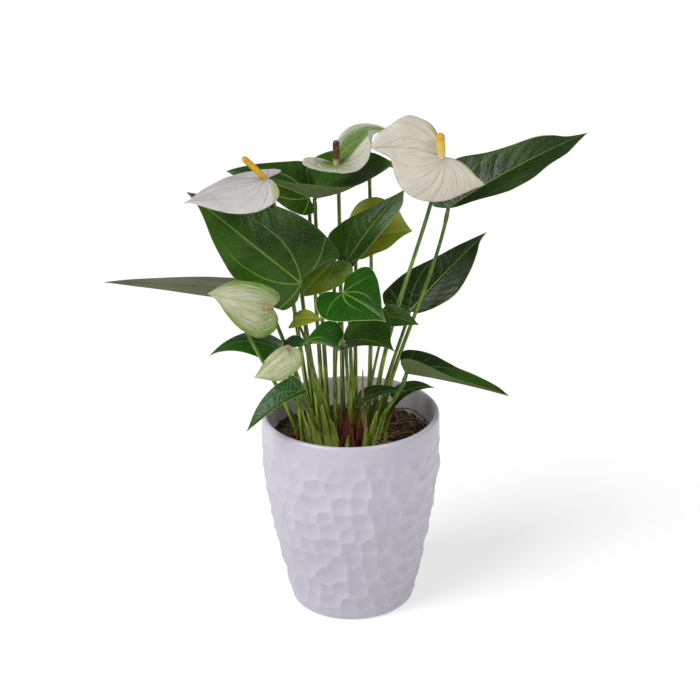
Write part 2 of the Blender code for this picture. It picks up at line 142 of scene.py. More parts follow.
# left and right half of a blade where it differs from the plain heart, without its two end
# points: share of the length from the petiole to the tip, share of the half width
OUTLINES = {
    "01": ([(-.01, .08), (-.055, .27), (-.035, .52), (.02, .61), (.17, .70), (.38, .66),
            (.52, .54), (.66, .38), (.80, .17), (.90, .05)],
           [(.005, .27), (-.068, .57), (-.097, .74), (-.08, .84), (.03, .92),
            (.18, .95), (.33, .90), (.55, .70), (.75, .42), (.9, .15)]),
    "05": ([(-.08, .12), (-.16, .26), (-.27, .49), (-.26, .75), (-.20, .95),
            (-.02, 1.03), (.28, .83), (.47, .62), (.65, .40), (.84, .14)],
           [(-.08, .05), (-.17, .10), (-.28, .14), (-.345, .24), (-.345, .38),
            (-.31, .54), (-.20, .70), (-.08, .83), (.19, .96), (.49, .81), (.72, .43),
            (.87, .15)]),
    "06": ([(-.05, .3), (-.02, .65), (.04, .88), (.11, .97), (.23, .90), (.37, .765),
            (.61, .42), (.76, .26), (.88, .11)],
           [(-.06, -.10), (-.15, -.2), (-.24, -.22), (-.23, -.1), (-.12, .08),
            (.03, .25), (.3, .40),
            (.59, .455), (.75, .42), (.88, .32), (.95, .15)]),
    "07": ([(-.08, .35), (-.045, .67), (.07, .9), (.22, 1.02), (.44, 1.03), (.59, .95),
            (.73, .78), (.84, .55), (.88, .38), (.95, .12)],
           [(-.05, .3), (.02, .48), (.12, .52), (.35, .47), (.57, .38), (.82, .14),
            (.93, .05)]),
    "10": ([(.0, .25), (.03, .55), (.08, .78), (.15, .95), (.39, 1.01), (.66, .90),
            (.86, .68), (.88, .5), (.87, .385), (.92, .15)],
           [(-.2, -.15), (-.44, -.36), (-.63, -.34), (-.72, -.1), (-.65, .2),
            (-.4, .25), (-.2, .235), (.0, .15), (.18, .08), (.4, .04), (.63, .02), (.85, .01)]),
    "11": ([(-.1, .15), (-.15, .5), (-.05, .85), (.15, 1.0), (.33, 1.02), (.47, .97),
            (.63, .84), (.77, .51), (.86, .20), (.95, .05)],
           [(-.05, .3), (.02, .6), (.15, .74), (.3, .66), (.45, .52), (.6, .3),
            (.76, .1), (.9, .03)]),
    "13": ([(-.05, .12), (-.085, .26), (-.115, .58), (-.06, .85), (.02, .87),
            (.16, .82), (.30, .71), (.49, .51), (.70, .32), (.865, .14)],
           [(.02, .12), (.05, .27), (.195, .545), (.385, .68), (.615, .515),
            (.77, .30), (.89, .07)]),
    "14": ([(-.04, .12), (-.077, .27), (-.06, .5), (.02, .75), (.12, .88), (.22, .88),
            (.39, .67), (.54, .54), (.70, .44), (.80, .30), (.88, .13)],
           [(.03, .1), (.07, .22), (.17, .44), (.33, .78), (.40, .90), (.54, .93),
            (.68, .70), (.80, .53), (.90, .25)]),
    "15": ([(-.12, .3), (-.05, .55), (.07, .63), (.2, .62), (.4, .5), (.6, .36),
            (.8, .2)],
           [(-.1, .3), (-.1, .7), (.03, .95), (.18, .98), (.4, .77), (.62, .52),
            (.80, .29), (.93, .12)]),
    "17": ([(-.06, .35), (-.10, .80), (-.045, 1.07), (.085, 1.15), (.235, 1.075),
            (.38, .85), (.49, .66), (.64, .53), (.80, .39), (.90, .27), (.97, .1)],
           [(-.05, .4), (-.07, .8), (-.02, 1.0), (.08, .9), (.22, .62), (.45, .35),
            (.7, .2), (.9, .1)]),
    "bract_4": ([(-.08, .12), (-.15, .39), (-.135, .76), (-.025, 1.04), (.12, 1.18),
                 (.32, 1.08), (.49, .89), (.68, .53), (.80, .24), (.9, .08)],
                [(-.06, .12), (-.107, .32), (-.08, .5), (0, .635), (.17, .74),
                 (.36, .75), (.63, .67), (.77, .49), (.87, .30)]),
    "bract_5": ([(-.09, .25), (-.134, .56), (-.09, .95), (.025, 1.24), (.21, 1.36),
                 (.40, 1.29), (.59, 1.19), (.71, .93), (.85, .48), (.95, .15)],
                [(.03, .16), (.15, .315), (.42, .385), (.645, .26), (.87, .10)]),
}

# the folded leaf under the middle bloom, skinned like the big spathes
FOLDED_LEAF = dict(
    rib=[(-25, 10, 334.8), (-3.5, 8, 340.6), (13, 10, 348.2), (27.6, 14, 355.3),
         (35.2, 18, 358.5)],
    left=[(-28, 14, 342), (-30, 18, 349.5), (-31, 24, 352.4),
          (-28, 32, 357), (-22.5, 38, 359.5), (-12, 43, 361.6), (-.5, 44, 362),
          (11, 40, 362.4), (21.5, 34, 362), (28.4, 28, 360.5), (33, 22, 359.3)],
    right=[(-44, 4, 345.8), (-59, 0, 353), (-60, -1, 355), (-51, -2, 353.4),
           (-40, -4, 351.6), (-25.5, -5, 350), (-13.4, -5, 348.3), (-4.3, -3, 346.6),
           (5.6, 1, 347), (17, 7, 350.3), (27.6, 13, 354.6)],
    belly=(-4.0, -2.0), face=(0, -0.45, 0.88))

TONE = {"dark": ("01", "06", "11", "12", "13", "14", "15", "16", "17", "18", "19", "20", "21"),
        "bright": ("03", "04", "05", "10"), "young": ("07", "08", "09"), "back": ("02",)}

# how far a blade leans to the lighter (up to 1) or the darker (down to -1) green of its skin:
# mostly its own tone, but 07 is lighter as painted light where it lies in the shade of leaf 06,
# and 16 lighter as a painted sheen
LEAF_TONE_AND_PAINTED_LIGHT = {"01": 0.1, "04": -0.9, "05": -0.5, "06": 0.1, "07": 1.0, "08": -0.5, "10": -0.5,
          "11": 0.1, "12": -0.1, "13": -1.0, "14": -0.5, "15": 0.1, "16": 0.6, "17": -0.4,
          "19": -0.2}
CLEAR_VEINS = ("01", "05", "10", "15")
FAINT_VEINS = 0.35

# the two small spathes are built like the blades, with outlines of their own; the three big
# ones are skinned between their margins and their midrib, runs of points from stalk to tip;
# a margin starts and ends where the midrib does, so those two points are left out of it
SMALL_SPATHES = {
    "4": dict(base=(-58, -48, 269), tip=(-105, -52, 282), face=(-0.1, -0.9, 0.4), width=42,
              fold=10, arch=3),
    "5": dict(base=(-45, -70, 246), tip=(-71, -76, 224), face=(0.1, -0.8, 0.5), width=26,
              fold=-10, arch=2),
}
BIG_SPATHES = {
    "1": dict(
        rib=[(-60, -30, 363), (-79, -33, 361), (-99, -36, 356), (-120, -40, 348.6)],
        left=[(-57, -33, 364), (-53, -38, 362.8), (-50, -44, 359.5),
              (-50, -50, 356.5), (-53.5, -55, 353), (-59, -58, 350.5), (-66.5, -60, 348),
              (-76, -61, 347), (-87, -60, 347.7), (-98, -57, 349.4), (-109, -50, 350.6),
              (-115, -45, 350.6)],
        right=[(-58, -26, 363), (-53.5, -20, 363.2), (-49, -14, 364),
               (-52, -8, 363.8), (-63, -5, 362.7), (-76, -6, 361), (-87, -10, 359.6),
               (-96, -16, 357.4), (-107.5, -28, 354.6), (-115, -36, 350.8)],
        belly=(3.5, 2.0), face=(-0.2, -0.5, 0.85)),
    "2": dict(
        rib=[(-8, 14, 359.5), (2, 20, 364), (9.5, 27, 370.5), (17, 32, 377), (26, 35, 379.6),
             (33, 34, 380.2)],
        left=[(-9.6, 16, 361.7), (-10, 20, 365.7), (-9, 24, 369.6),
              (-7.4, 28, 374.4), (-3.3, 31, 379.7), (2.8, 34, 383.4), (11.4, 37, 384.7),
              (20.8, 38, 384), (28.3, 37, 381.8)],
        right=[(-10.8, 13, 361.6), (-16.8, 12, 364.5), (-24.3, 10, 367),
               (-31, 7, 367.8), (-33.6, 4, 365.7), (-31, 1, 363), (-20.5, -3, 360.6),
               (-11, -5, 359.9), (-1.8, -6, 359.3), (5.8, -5, 360.1), (11.4, -3, 362.8),
               (15.1, 0, 366.3), (17, 4, 370.3), (17.9, 10, 376), (16.6, 15, 380),
               (16.3, 20, 384), (20.8, 26, 383), (26.8, 31, 380.8)],
        belly=(-4.0, -4.5), face=(-0.35, -0.35, 0.87)),
    "3": dict(
        rib=[(70, -20, 374.6), (63, -18.8, 378.1), (50, -18.5, 381.2), (35.3, -19.3, 382.7),
             (18, -21, 383.1)],
        left=[(76, -19.6, 374.2), (81.6, -20, 372.5), (87, -21, 369.6),
              (92.7, -23.3, 364.5), (97.5, -25.7, 359.4), (101.5, -27.3, 355.8),
              (93.8, -29.7, 353.5), (83.4, -33, 349.9), (74.2, -35.7, 347),
              (65, -37.3, 346.3), (55.7, -37.7, 347.3), (48.3, -37, 350), (42.7, -35.7, 353.4),
              (38, -33.2, 358.6), (35.3, -30.2, 364.2), (34.2, -27.5, 369),
              (35.2, -25.3, 372.6), (31, -23.3, 376.7), (26, -22.5, 379.2),
              (20.5, -21.7, 381.7)],
        right=[(68.6, -17, 380.2), (67.6, -12.8, 387.3), (66.2, -10, 392.5),
               (61, -7.4, 398), (52.3, -6, 402), (45.7, -6, 403.3), (39, -8, 401.4),
               (32, -11, 397.4), (22.7, -15.4, 392), (18.7, -19.3, 386)],
        belly=(4.0, 3.0), face=(0.1, -0.85, 0.5)),
}

SPADICES = {
    "1": dict(base=(-60, -30, 363), way=(-0.62, -0.25, 0.74), length=26, radius=2.3),
    "2": dict(base=(-8, 14, 359.5), way=(0.0, -0.1, 1.0), length=20, radius=2.5),
    "3": dict(base=(70, -20, 374.6), way=(-0.08, -0.25, 0.97), length=21, radius=3.2),
    "4": dict(base=(-58, -48, 269), way=(-0.55, -0.8, 0.2), length=7, radius=1.6),
    "5": dict(base=(-45, -70, 246), way=(-0.5, -0.8, 0.1), length=6, radius=1.4),
}

STEMS = {
    "petiole_01": dict(foot=(-24, -12), bow=(-2, 22)),
    "petiole_02": dict(foot=(-41, -6), bow=(-4, -10)),
    "petiole_03": dict(foot=(-38, 10), bow=(-2, 4)),
    "petiole_04": dict(foot=(-22, -22)),
    "petiole_05": dict(foot=(-8, -14), bow=(-8, 8)),
    "petiole_06": dict(foot=(2, -6), reach=(0, 14, 0)),
    "petiole_07": dict(foot=(4, 14), bow=(0, 4), reach=(0, 8, 0)),
    "petiole_08": dict(foot=(-12, 4)),
    "petiole_09": dict(foot=(-20, -18), low=(-22, -12, 190), high=(-37, 1, 241)),
    "petiole_10": dict(foot=(-14, -22)),
    "petiole_11": dict(foot=(0, -22)),
    "petiole_12": dict(foot=(11, -5), bow=(0, 4)),
    "petiole_13": dict(foot=(22, 14), bow=(0, 2), reach=(0, 8, 0)),
    "petiole_14": dict(foot=(22, 6), bow=(4, -15)),
    "petiole_15": dict(foot=(-22, 14)),
    "petiole_16": dict(foot=(-18, 4), bow=(0, 6)),
    "petiole_17": dict(foot=(15, -16), bow=(4, -4)),
    "petiole_18": dict(foot=(6, -17)),
    "petiole_19": dict(foot=(27, -4)),
    "petiole_20": dict(foot=(14, 20), bow=(4, 14)),
    "petiole_21": dict(foot=(-30, 20), bow=(0, 4)),
    "flower_stalk_1": dict(foot=(-30, 12), low=(-40, 16, 220), high=(-52, 22, 325)),
    "flower_stalk_2": dict(foot=(-6, 12), low=(-6, 30, 240), high=(-7, 96, 405)),
    "flower_stalk_3": dict(foot=(17, -2), bow=(0, 2)),
    "flower_stalk_4": dict(foot=(-28, -22), bow=(-2, 10), reach=(0, 16, 0)),
    "flower_stalk_5": dict(foot=(-38, -20), bow=(0, 12), reach=(0, 24, 0)),
}
PETIOLE_RADII = (2.1, 1.4)
STALK_RADII = (2.0, 1.5)
THIN_RADII = (1.6, 1.1)
THIN_STEMS = ("petiole_09", "petiole_12", "petiole_18", "petiole_19", "flower_stalk_5")


# ---------------------------------------------------------------- meshes from whole arrays

def unit(vectors):
    """Each vector over its own length."""
    vectors = np.asarray(vectors, float)
    return vectors / np.maximum(np.linalg.norm(vectors, axis=-1, keepdims=True), 1e-9)


def smooth_through(points, count):
    """Catmull-Rom curve through the points, cut into even steps."""
    at = np.array(points, float)
    held = np.vstack([2 * at[0] - at[1], at, 2 * at[-1] - at[-2]])
    u = np.linspace(0, 1, 24, endpoint=False)[None, :, None]
    a, b, c, d = (held[k:len(at) - 1 + k, None, :] for k in range(4))
    run = 0.5 * (2 * b + (c - a) * u + (2 * a - 5 * b + 4 * c - d) * u ** 2
                 + (3 * b - a - 3 * c + d) * u ** 3)
    return evenly(np.vstack([run.reshape(-1, at.shape[1]), at[-1:]]), count)


def evenly(run, count, stop=0.0):
    """The same line, resampled at even steps along its length."""
    along = np.concatenate([[0], np.cumsum(np.linalg.norm(np.diff(run, axis=0), axis=1))])
    even = np.linspace(0, along[-1] - stop, count)
    return np.stack([np.interp(even, along, run[:, k]) for k in range(run.shape[1])], 1)


def turns(count):
    """Even angles round one full turn."""
    return np.linspace(0, 2 * np.pi, count, endpoint=False)


def placed(name, data):
    """Object of this data, in the scene."""
    made = bpy.data.objects.new(name, data)
    bpy.context.scene.collection.objects.link(made)
    return made


def make_piece(name, points, quads, triangles, values, skin, stands_for=()):
    """Mesh from arrays in millimetres, faces turned outwards, riding on the plant's one body."""
    mesh = bpy.data.meshes.new(name)
    quads = np.asarray(quads, int).reshape(-1, 4)
    triangles = np.asarray(triangles, int).reshape(-1, 3)
    corners = np.concatenate([quads.ravel(), triangles.ravel()])
    sizes = np.concatenate([np.full(len(quads), 4), np.full(len(triangles), 3)])
    mesh.vertices.add(len(points))
    mesh.vertices.foreach_set("co", (np.asarray(points, float) * MM).ravel())
    mesh.loops.add(len(corners))
    mesh.loops.foreach_set("vertex_index", corners)
    mesh.polygons.add(len(sizes))
    mesh.polygons.foreach_set("loop_start", np.concatenate([[0], np.cumsum(sizes)[:-1]]))
    for key, numbers in values.items():
        layer = mesh.attributes.new(key, "FLOAT", "POINT")
        layer.data.foreach_set("value", np.asarray(numbers, float).ravel())
    mesh.update(calc_edges=True)
    work = bmesh.new()
    work.from_mesh(mesh)
    bmesh.ops.recalc_face_normals(work, faces=work.faces)
    work.to_mesh(mesh)
    work.free()
    mesh.polygons.foreach_set("use_smooth", np.ones(len(mesh.polygons), bool))
    mesh.materials.append(skin)
    made = placed(name, mesh)
    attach(made, BODY)
    if stands_for:
        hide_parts(*stands_for)
    return made


def lattice(rows, columns, wrap=False, start=0):
    """Quads of a grid of points; wrap joins the last column to the first."""
    i = np.arange(rows - 1)[:, None]
    j = np.arange(columns if wrap else columns - 1)[None, :]
    k = (j + 1) % columns
    a, b = i * columns + j, i * columns + k
    c, d = (i + 1) * columns + k, (i + 1) * columns + j
    return np.stack([a, b, c, d], -1).reshape(-1, 4) + start


def fans(ring, pole, flip=False):
    """Triangles from each step of a ring of point numbers to one pole."""
    a, b = ring[:-1], ring[1:]
    if flip:
        a, b = b, a
    return np.stack([a, b, np.full(len(a), pole)], 1)


def tube_arrays(path, radii, sides, guide=None):
    """Profile carried along a path: a ring of points round each station, at its radius, in the
    plane across the path; both ends close on a middle point."""
    path = np.asarray(path, float)
    tangent = unit(np.gradient(path, axis=0))
    if guide is None:
        guide = np.array((0.25, 1.0, 0.0)) if abs(tangent[:, 2]).mean() > 0.5 else np.array(
            (0.1, 0.2, 1.0))
    one = unit(np.cross(tangent, guide))
    two = np.cross(one, tangent)
    turn = turns(sides)[None, :, None]
    size = np.asarray(radii, float)
    size = size[:, None, None] if size.ndim == 1 else size[:, :, None]
    rings = path[:, None] + size * (np.cos(turn) * one[:, None] + np.sin(turn) * two[:, None])
    count = len(path)
    points = np.vstack([rings.reshape(-1, 3), path[:1], path[-1:]])
    quads = lattice(count, sides, wrap=True)
    first = np.append(np.arange(sides), 0)
    last = first + (count - 1) * sides
    ends = np.vstack([fans(first, count * sides), fans(last, count * sides + 1, flip=True)])
    around = np.append(np.tile(np.arange(sides) / sides, count), [0, 0])
    along = np.append(np.repeat(np.linspace(0, 1, count), sides), [0, 1])
    return points, quads, ends, around, along


def blade_grid(base, tip, face, width, lobe=0.2, fold=15, fold_right=None, arch=6,
               left=1.0, right=1.0, left_outline=HEART, right_outline=HEART,
               wave=1.0, phase=0.0, quilt=0.4):
    """Surface of two parameters: t runs round the margin from petiole to tip, s across from the
    right margin (-1) over the midrib (0) to the left one (1). Each row joins its place on the
    midrib to its place on the margin. Height over the blade's plane is the sum of the fold of
    each half, the midrib's arch, a wave along the margin, the pillows between the side veins
    and the furrow over the midrib."""
    base, tip = np.array(base, float), np.array(tip, float)
    length = np.linalg.norm(tip - base)
    along = (tip - base) / length
    up = np.array(face, float)
    up = unit(up - up.dot(along) * along)
    across = np.cross(up, along)
    left_edge = smooth_through(left_outline, BLADE_ROWS + 1)
    right_edge = smooth_through(right_outline, BLADE_ROWS + 1)
    t = np.linspace(0, 1, BLADE_ROWS + 1)[:, None]
    rib = 0.03 * t + 0.97 * np.clip((t - 0.11) / 0.89, 0, 1) ** 1.2
    s = np.linspace(-1, 1, 2 * BLADE_HALF_COLUMNS + 1)[None, :]
    edge_x = np.where(s < 0, right_edge[:, :1], left_edge[:, :1])
    edge_x = np.where(edge_x < 0, edge_x * lobe, edge_x)
    edge_y = np.where(s < 0, right_edge[:, 1:], left_edge[:, 1:])
    share = rib * (1 - abs(s)) + edge_x * abs(s)
    side = edge_y * s * np.where(s < 0, right, left) * width / 2
    half = np.hypot((edge_x - rib) * length, edge_y * np.where(s < 0, right, left) * width / 2)
    turn = np.radians(np.where(s < 0, fold if fold_right is None else fold_right, fold))
    rise = np.sqrt((side * np.sin(turn)) ** 2 + 4) - 2
    height = rise * np.sign(turn)
    height = height + arch * 4 * share * (1 - share) * np.where(share > 0, 1, 0.5)
    window = np.sin(np.pi * t)
    ripple = np.sin(2 * np.pi * (MARGIN_WAVES * t + phase + 0.25 * np.sign(s)))
    height = height + wave * abs(s) ** 3 * ripple * window
    order = (t - SWEEP * abs(s)) * LATERALS
    pillow = abs(np.sin(np.pi * order)) ** 0.6 - 0.7
    height = height + quilt * pillow * window * np.clip(abs(s) * 6, 0, 1) * (1 - abs(s) ** 6)
    height = height - 0.7 * np.exp(-(side / 1.4) ** 2) * np.clip(4 * share * (1.02 - share), 0, 1)
    spread = side * np.cos(turn)
    points = (base + (share * length)[..., None] * along + spread[..., None] * across
              + height[..., None] * up)
    points[0], points[-1] = points[0, BLADE_HALF_COLUMNS], points[-1, BLADE_HALF_COLUMNS]
    reach = np.hypot(share * length, side)
    fan = np.arctan2(abs(side), share * length) + VEIN_BEND * reach / length
    return points, s + 0 * t, t + 0 * s, half + 0 * s, fan, reach, reach / length


def own_outline(key):
    """Both margins of a blade: its own points between the stem joint and the tip."""
    left, right = ([(0, 0.02), *margin, (1, 0)] for margin in OUTLINES[key])
    return dict(left_outline=left, right_outline=right, lobe=1.0)


def skinned_grid(rib, left, right, belly, face):
    """Surface of two parameters between three lines. Every row goes straight from the midrib
    to each margin, then swells the way the face looks: by its belly, most near half way
    across, and by low pillows between the veins."""
    left, right = ([rib[0], *margin, rib[-1]] for margin in (left, right))
    rows, half_columns = BLADE_ROWS + 24, BLADE_HALF_COLUMNS + 6
    t = np.linspace(0, 1, rows + 1)
    middle = smooth_through(rib, 400)
    place = (0.04 * t + 0.96 * np.clip((t - 0.1) / 0.9, 0, 1) ** 1.15) * 399
    middle = np.stack([np.interp(place, np.arange(400), middle[:, k]) for k in range(3)], 1)
    s = np.linspace(-1, 1, 2 * half_columns + 1)
    a = abs(s)[None, :, None]
    ends = np.where(s[None, :, None] < 0, smooth_through(right, rows + 1)[:, None],
                    smooth_through(left, rows + 1)[:, None])
    points = middle[:, None] * (1 - a) + ends * a
    reach = np.linalg.norm(ends - middle[:, None], axis=2)
    out = unit(np.array(face, float))
    swell = np.where(s < 0, belly[1], belly[0])[None, :]
    size = np.clip(reach / 22, 0, 1)
    height = swell * 4 * abs(s) * (1 - abs(s) ** 1.5) / 1.6 * size
    offset = points - points[0, half_columns]
    length = np.linalg.norm(middle[-1] - middle[0])
    along = (middle[-1] - middle[0]) / length
    across = unit(np.cross(out - out.dot(along) * along, along))
    away = np.linalg.norm(offset, axis=2)
    fan = np.arctan2(abs(offset @ across), offset @ along) + VEIN_BEND * away / length
    veins = abs(np.sin(np.pi * SPATHE_VEINS * fan))
    height = height + VEIN_RELIEF * (veins ** 0.6 - 0.7) * np.sin(np.pi * t)[:, None] * (away > 2)
    points = points + height[..., None] * out
    points[0], points[-1] = points[0, half_columns], points[-1, half_columns]
    full = np.ones((rows + 1, 2 * half_columns + 1))
    return points, s[None] * full, t[:, None] * full, reach, fan, away, away / length


def surface_normals(points, face):
    """Cross product of the two directions of the grid, all on the side the face looks to."""
    n = np.cross(np.gradient(points, axis=0), np.gradient(points, axis=1))
    n[0], n[-1] = n[1].mean(0), n[-2].mean(0)
    n = unit(n)
    if (n.mean((0, 1)) * np.array(face, float)).sum() < 0:
        n = -n
    return n


def sheet_piece(name, grid, face, thickness, ridge, values, skin, stands_for):
    """Closed thin body: the grid lifted by half its thickness for the upper face, dropped by
    half and by the midrib's ridge for the lower one, and joined round the margin. The first
    and the last row are single points."""
    points, s, t, half, fan, away, reach = grid
    rows, columns = s.shape
    normals = surface_normals(points, face)
    edge = np.sqrt(np.clip(1 - abs(s) ** 8, 0.08, 1))
    lift = (thickness / 2 * edge)[..., None]
    keel = ridge * np.exp(-(s * half / 0.9) ** 2) * np.clip(1.1 - t, 0.1, 1)
    upper = points + normals * lift
    lower = points - normals * (lift + keel[..., None])
    inner = columns * (rows - 2)
    stack = []
    for sheet in (upper, lower):
        stack += [sheet[1:-1].reshape(-1, 3), sheet[:1, columns // 2], sheet[-1:, columns // 2]]
    size = inner + 2
    quads, triangles = [], []
    for k in range(2):
        start = k * size
        quads.append(lattice(rows - 2, columns, start=start))
        first = np.arange(columns) + start
        triangles.append(fans(first, start + inner))
        triangles.append(fans(first + columns * (rows - 3), start + inner + 1))
    for column in (0, columns - 1):
        line = np.concatenate([[inner], np.arange(rows - 2) * columns + column, [inner + 1]])
        quads.append(np.stack([line[:-1], line[1:], line[1:] + size, line[:-1] + size], 1))
    every = {}
    for key, value in dict(across=s, down=t, half_mm=half, fan=fan, away_mm=away,
                           reach=reach, **values).items():
        value = value + 0 * s
        flat = np.concatenate([value[1:-1].ravel(), value[0, :1], value[-1, :1]])
        every[key] = np.tile(flat, 2)
    every["under"] = np.repeat([0.0, 1.0], size)
    return make_piece(name, np.vstack(stack), np.vstack(quads), np.vstack(triangles), every,
                      skin, stands_for)


# ---------------------------------------------------------------- finishes

class Shade:
    """The output of a node; plain sums on it add maths nodes to its finish."""

    def __init__(self, finish, socket):
        self.finish, self.socket = finish, socket

    def __add__(self, other):
        return self.finish.math("ADD", self, other)

    def __sub__(self, other):
        return self.finish.math("SUBTRACT", self, other)

    def __rsub__(self, other):
        return self.finish.math("SUBTRACT", other, self)

    def __mul__(self, other):
        return self.finish.math("MULTIPLY", self, other)

    def __truediv__(self, other):
        return self.finish.math("DIVIDE", self, other)

    def __abs__(self):
        return self.finish.math("ABSOLUTE", self)


class Finish:
    """One node-based finish. Each call adds a node and gives back its output."""

    def __init__(self, name, **constants):
        self.skin = bpy.data.materials.new(name)
        self.skin.use_nodes = True
        self.tree = self.skin.node_tree
        self.shader = self.tree.nodes["Principled BSDF"]
        for key, value in constants.items():
            self.shader.inputs[key.replace("_", " ")].default_value = value
        self.place = self.output(self.node("TexCoord"), "Object")

    def node(self, kind):
        return self.tree.nodes.new("ShaderNode" + kind)

    def output(self, node, key=0):
        return Shade(self, node.outputs[key])

    def put(self, socket, value):
        if isinstance(value, Shade):
            self.tree.links.new(value.socket, socket)
        elif isinstance(value, tuple) and len(socket.default_value) == 4:
            socket.default_value = (*value, 1.0)
        else:
            socket.default_value = value

    def values(self, *keys):
        made = [self.node("Attribute") for _ in keys]
        for node, key in zip(made, keys):
            node.attribute_name = key
        return [self.output(node, "Fac") for node in made]

    def math(self, kind, a, b=0.0):
        made = self.node("Math")
        made.operation = kind
        self.put(made.inputs[0], a)
        self.put(made.inputs[1], b)
        return self.output(made)

    def span(self, value, low, high, start=0.0, end=1.0):
        made = self.node("MapRange")
        made.interpolation_type = "SMOOTHSTEP"
        for key, number in zip(("Value", "From Min", "From Max", "To Min", "To Max"),
                               (value, low, high, start, end)):
            self.put(made.inputs[key], number)
        return self.output(made)

    def line(self, distance, solid, gone, strength=1.0):
        """Full strength up to solid, nothing from gone on."""
        return self.span(distance, solid, gone, strength, 0.0)

    def noise(self, scale, detail=3.0, place=None, stretch=None):
        made = self.node("TexNoise")
        place = place or self.place
        if stretch:
            turn = self.node("Mapping")
            self.put(turn.inputs["Scale"], list(stretch))
            self.put(turn.inputs["Vector"], place)
            place = self.output(turn)
        self.put(made.inputs["Vector"], place)
        self.put(made.inputs["Scale"], scale)
        self.put(made.inputs["Detail"], detail)
        return self.output(made, "Fac")

    def net(self, scale, width):
        """Lines between cells of a net."""
        made = self.node("TexVoronoi")
        made.feature = "DISTANCE_TO_EDGE"
        self.put(made.inputs["Vector"], self.place)
        self.put(made.inputs["Scale"], scale)
        return self.line(self.output(made, "Distance"), 0.0, width)

    def height(self):
        made = self.node("SeparateXYZ")
        self.put(made.inputs[0], self.place)
        return self.output(made, "Z")

    def vector(self, x, y, z=0.0):
        made = self.node("CombineXYZ")
        for socket, number in zip(made.inputs, (x, y, z)):
            self.put(socket, number)
        return self.output(made)

    def mix(self, share, a, b):
        made = self.node("Mix")
        made.data_type = "RGBA"
        self.put(made.inputs["Factor"], share)
        self.put(made.inputs[6], a)
        self.put(made.inputs[7], b)
        return self.output(made, 2)

    def every(self, count):
        """Distance from the nearest whole number, for lines at even steps of count."""
        return abs(self.math("FRACT", count + 0.5) - 0.5)

    def made(self, colour, rough, height, depth, strength):
        """Links colour, roughness and a bump of height times depth in metres."""
        bump = self.node("Bump")
        self.put(bump.inputs["Strength"], strength)
        self.put(bump.inputs["Distance"], depth)
        self.put(bump.inputs["Height"], height)
        for key, value in (("Base Color", colour), ("Roughness", rough),
                           ("Normal", self.output(bump))):
            self.put(self.shader.inputs[key], value)
        return self.skin


def leaf_finish(name, deep, light, vein, margin, under, gloss):
    """Green mottled between deep and light; side veins at even steps of the down value, two
    ring veins at set values of fan, midrib and thin margin by distance in millimetres. The
    lower face is paler and duller."""
    f = Finish(name, Specular_IOR_Level=LEAF_SHINE)
    s, t, half, below, tone, veined, fan, away, reach = f.values(
        "across", "down", "half_mm", "under", "tone", "veined", "fan", "away_mm", "reach")
    a = abs(s)
    swept = t - a * SWEEP
    wander = f.noise(60.0, 2.0) - 0.5
    laterals = f.line(f.every((swept + wander * 0.02) * LATERALS), 0.02, 0.10)
    laterals = laterals * f.line(a, 0.86, 0.95) * f.line(t, 0.90, 1.0, LATERAL_STRENGTH)
    midrib = f.line(a * half / (1.25 - t), 0.45, 1.05)
    lines = f.math("MAXIMUM", midrib, laterals)
    for place_round, strength in FAN_VEINS:
        off = abs(fan - place_round + wander * 0.08) * away
        ring = f.line(off, 0.2, 0.85) * f.line(reach, 0.15, 0.75, strength) * veined
        lines = f.math("MAXIMUM", lines, ring)
    rim = f.line((1.0 - a) * half, 0.2, 0.75)
    net = f.net(330.0, 0.09)
    # tone: each blade's own lean; for blade 07 it is painted light, for blade 16 a painted sheen
    lean = tone * 0.3
    top = f.mix(f.span(f.noise(22.0, 4.0) + lean, 0.25, 0.75), deep, light)
    top = f.mix(net * 0.05, top, vein)
    top = f.mix(lines * 0.75, top, vein)
    top = f.mix(rim * 0.75, top, margin)
    top = f.mix(f.span(f.noise(140.0, 2.0), 0.70, 0.80) * 0.25, top, BLEMISH)
    pale = tuple(1.55 * c + 0.02 for c in under)
    low = f.mix(f.span(f.noise(30.0, 3.0) + lean, 0.2, 0.8), under, pale)
    low = f.mix(lines * 0.8, low, pale)
    low = f.mix(net * 0.2, low, pale)
    crease = f.noise(1.0, 4.0, f.vector(a, swept, f.math("SIGN", s)), (5.0, 46.0, 1.0))
    height = f.noise(900.0, 2.0) * 0.18 + crease - lines * 0.6 - net * 0.12
    shine = f.noise(45.0, 4.0) * 0.24 + (gloss - 0.18) + below * 0.45
    return f.made(f.mix(below, top, low), shine, height, 0.0004, 0.8)


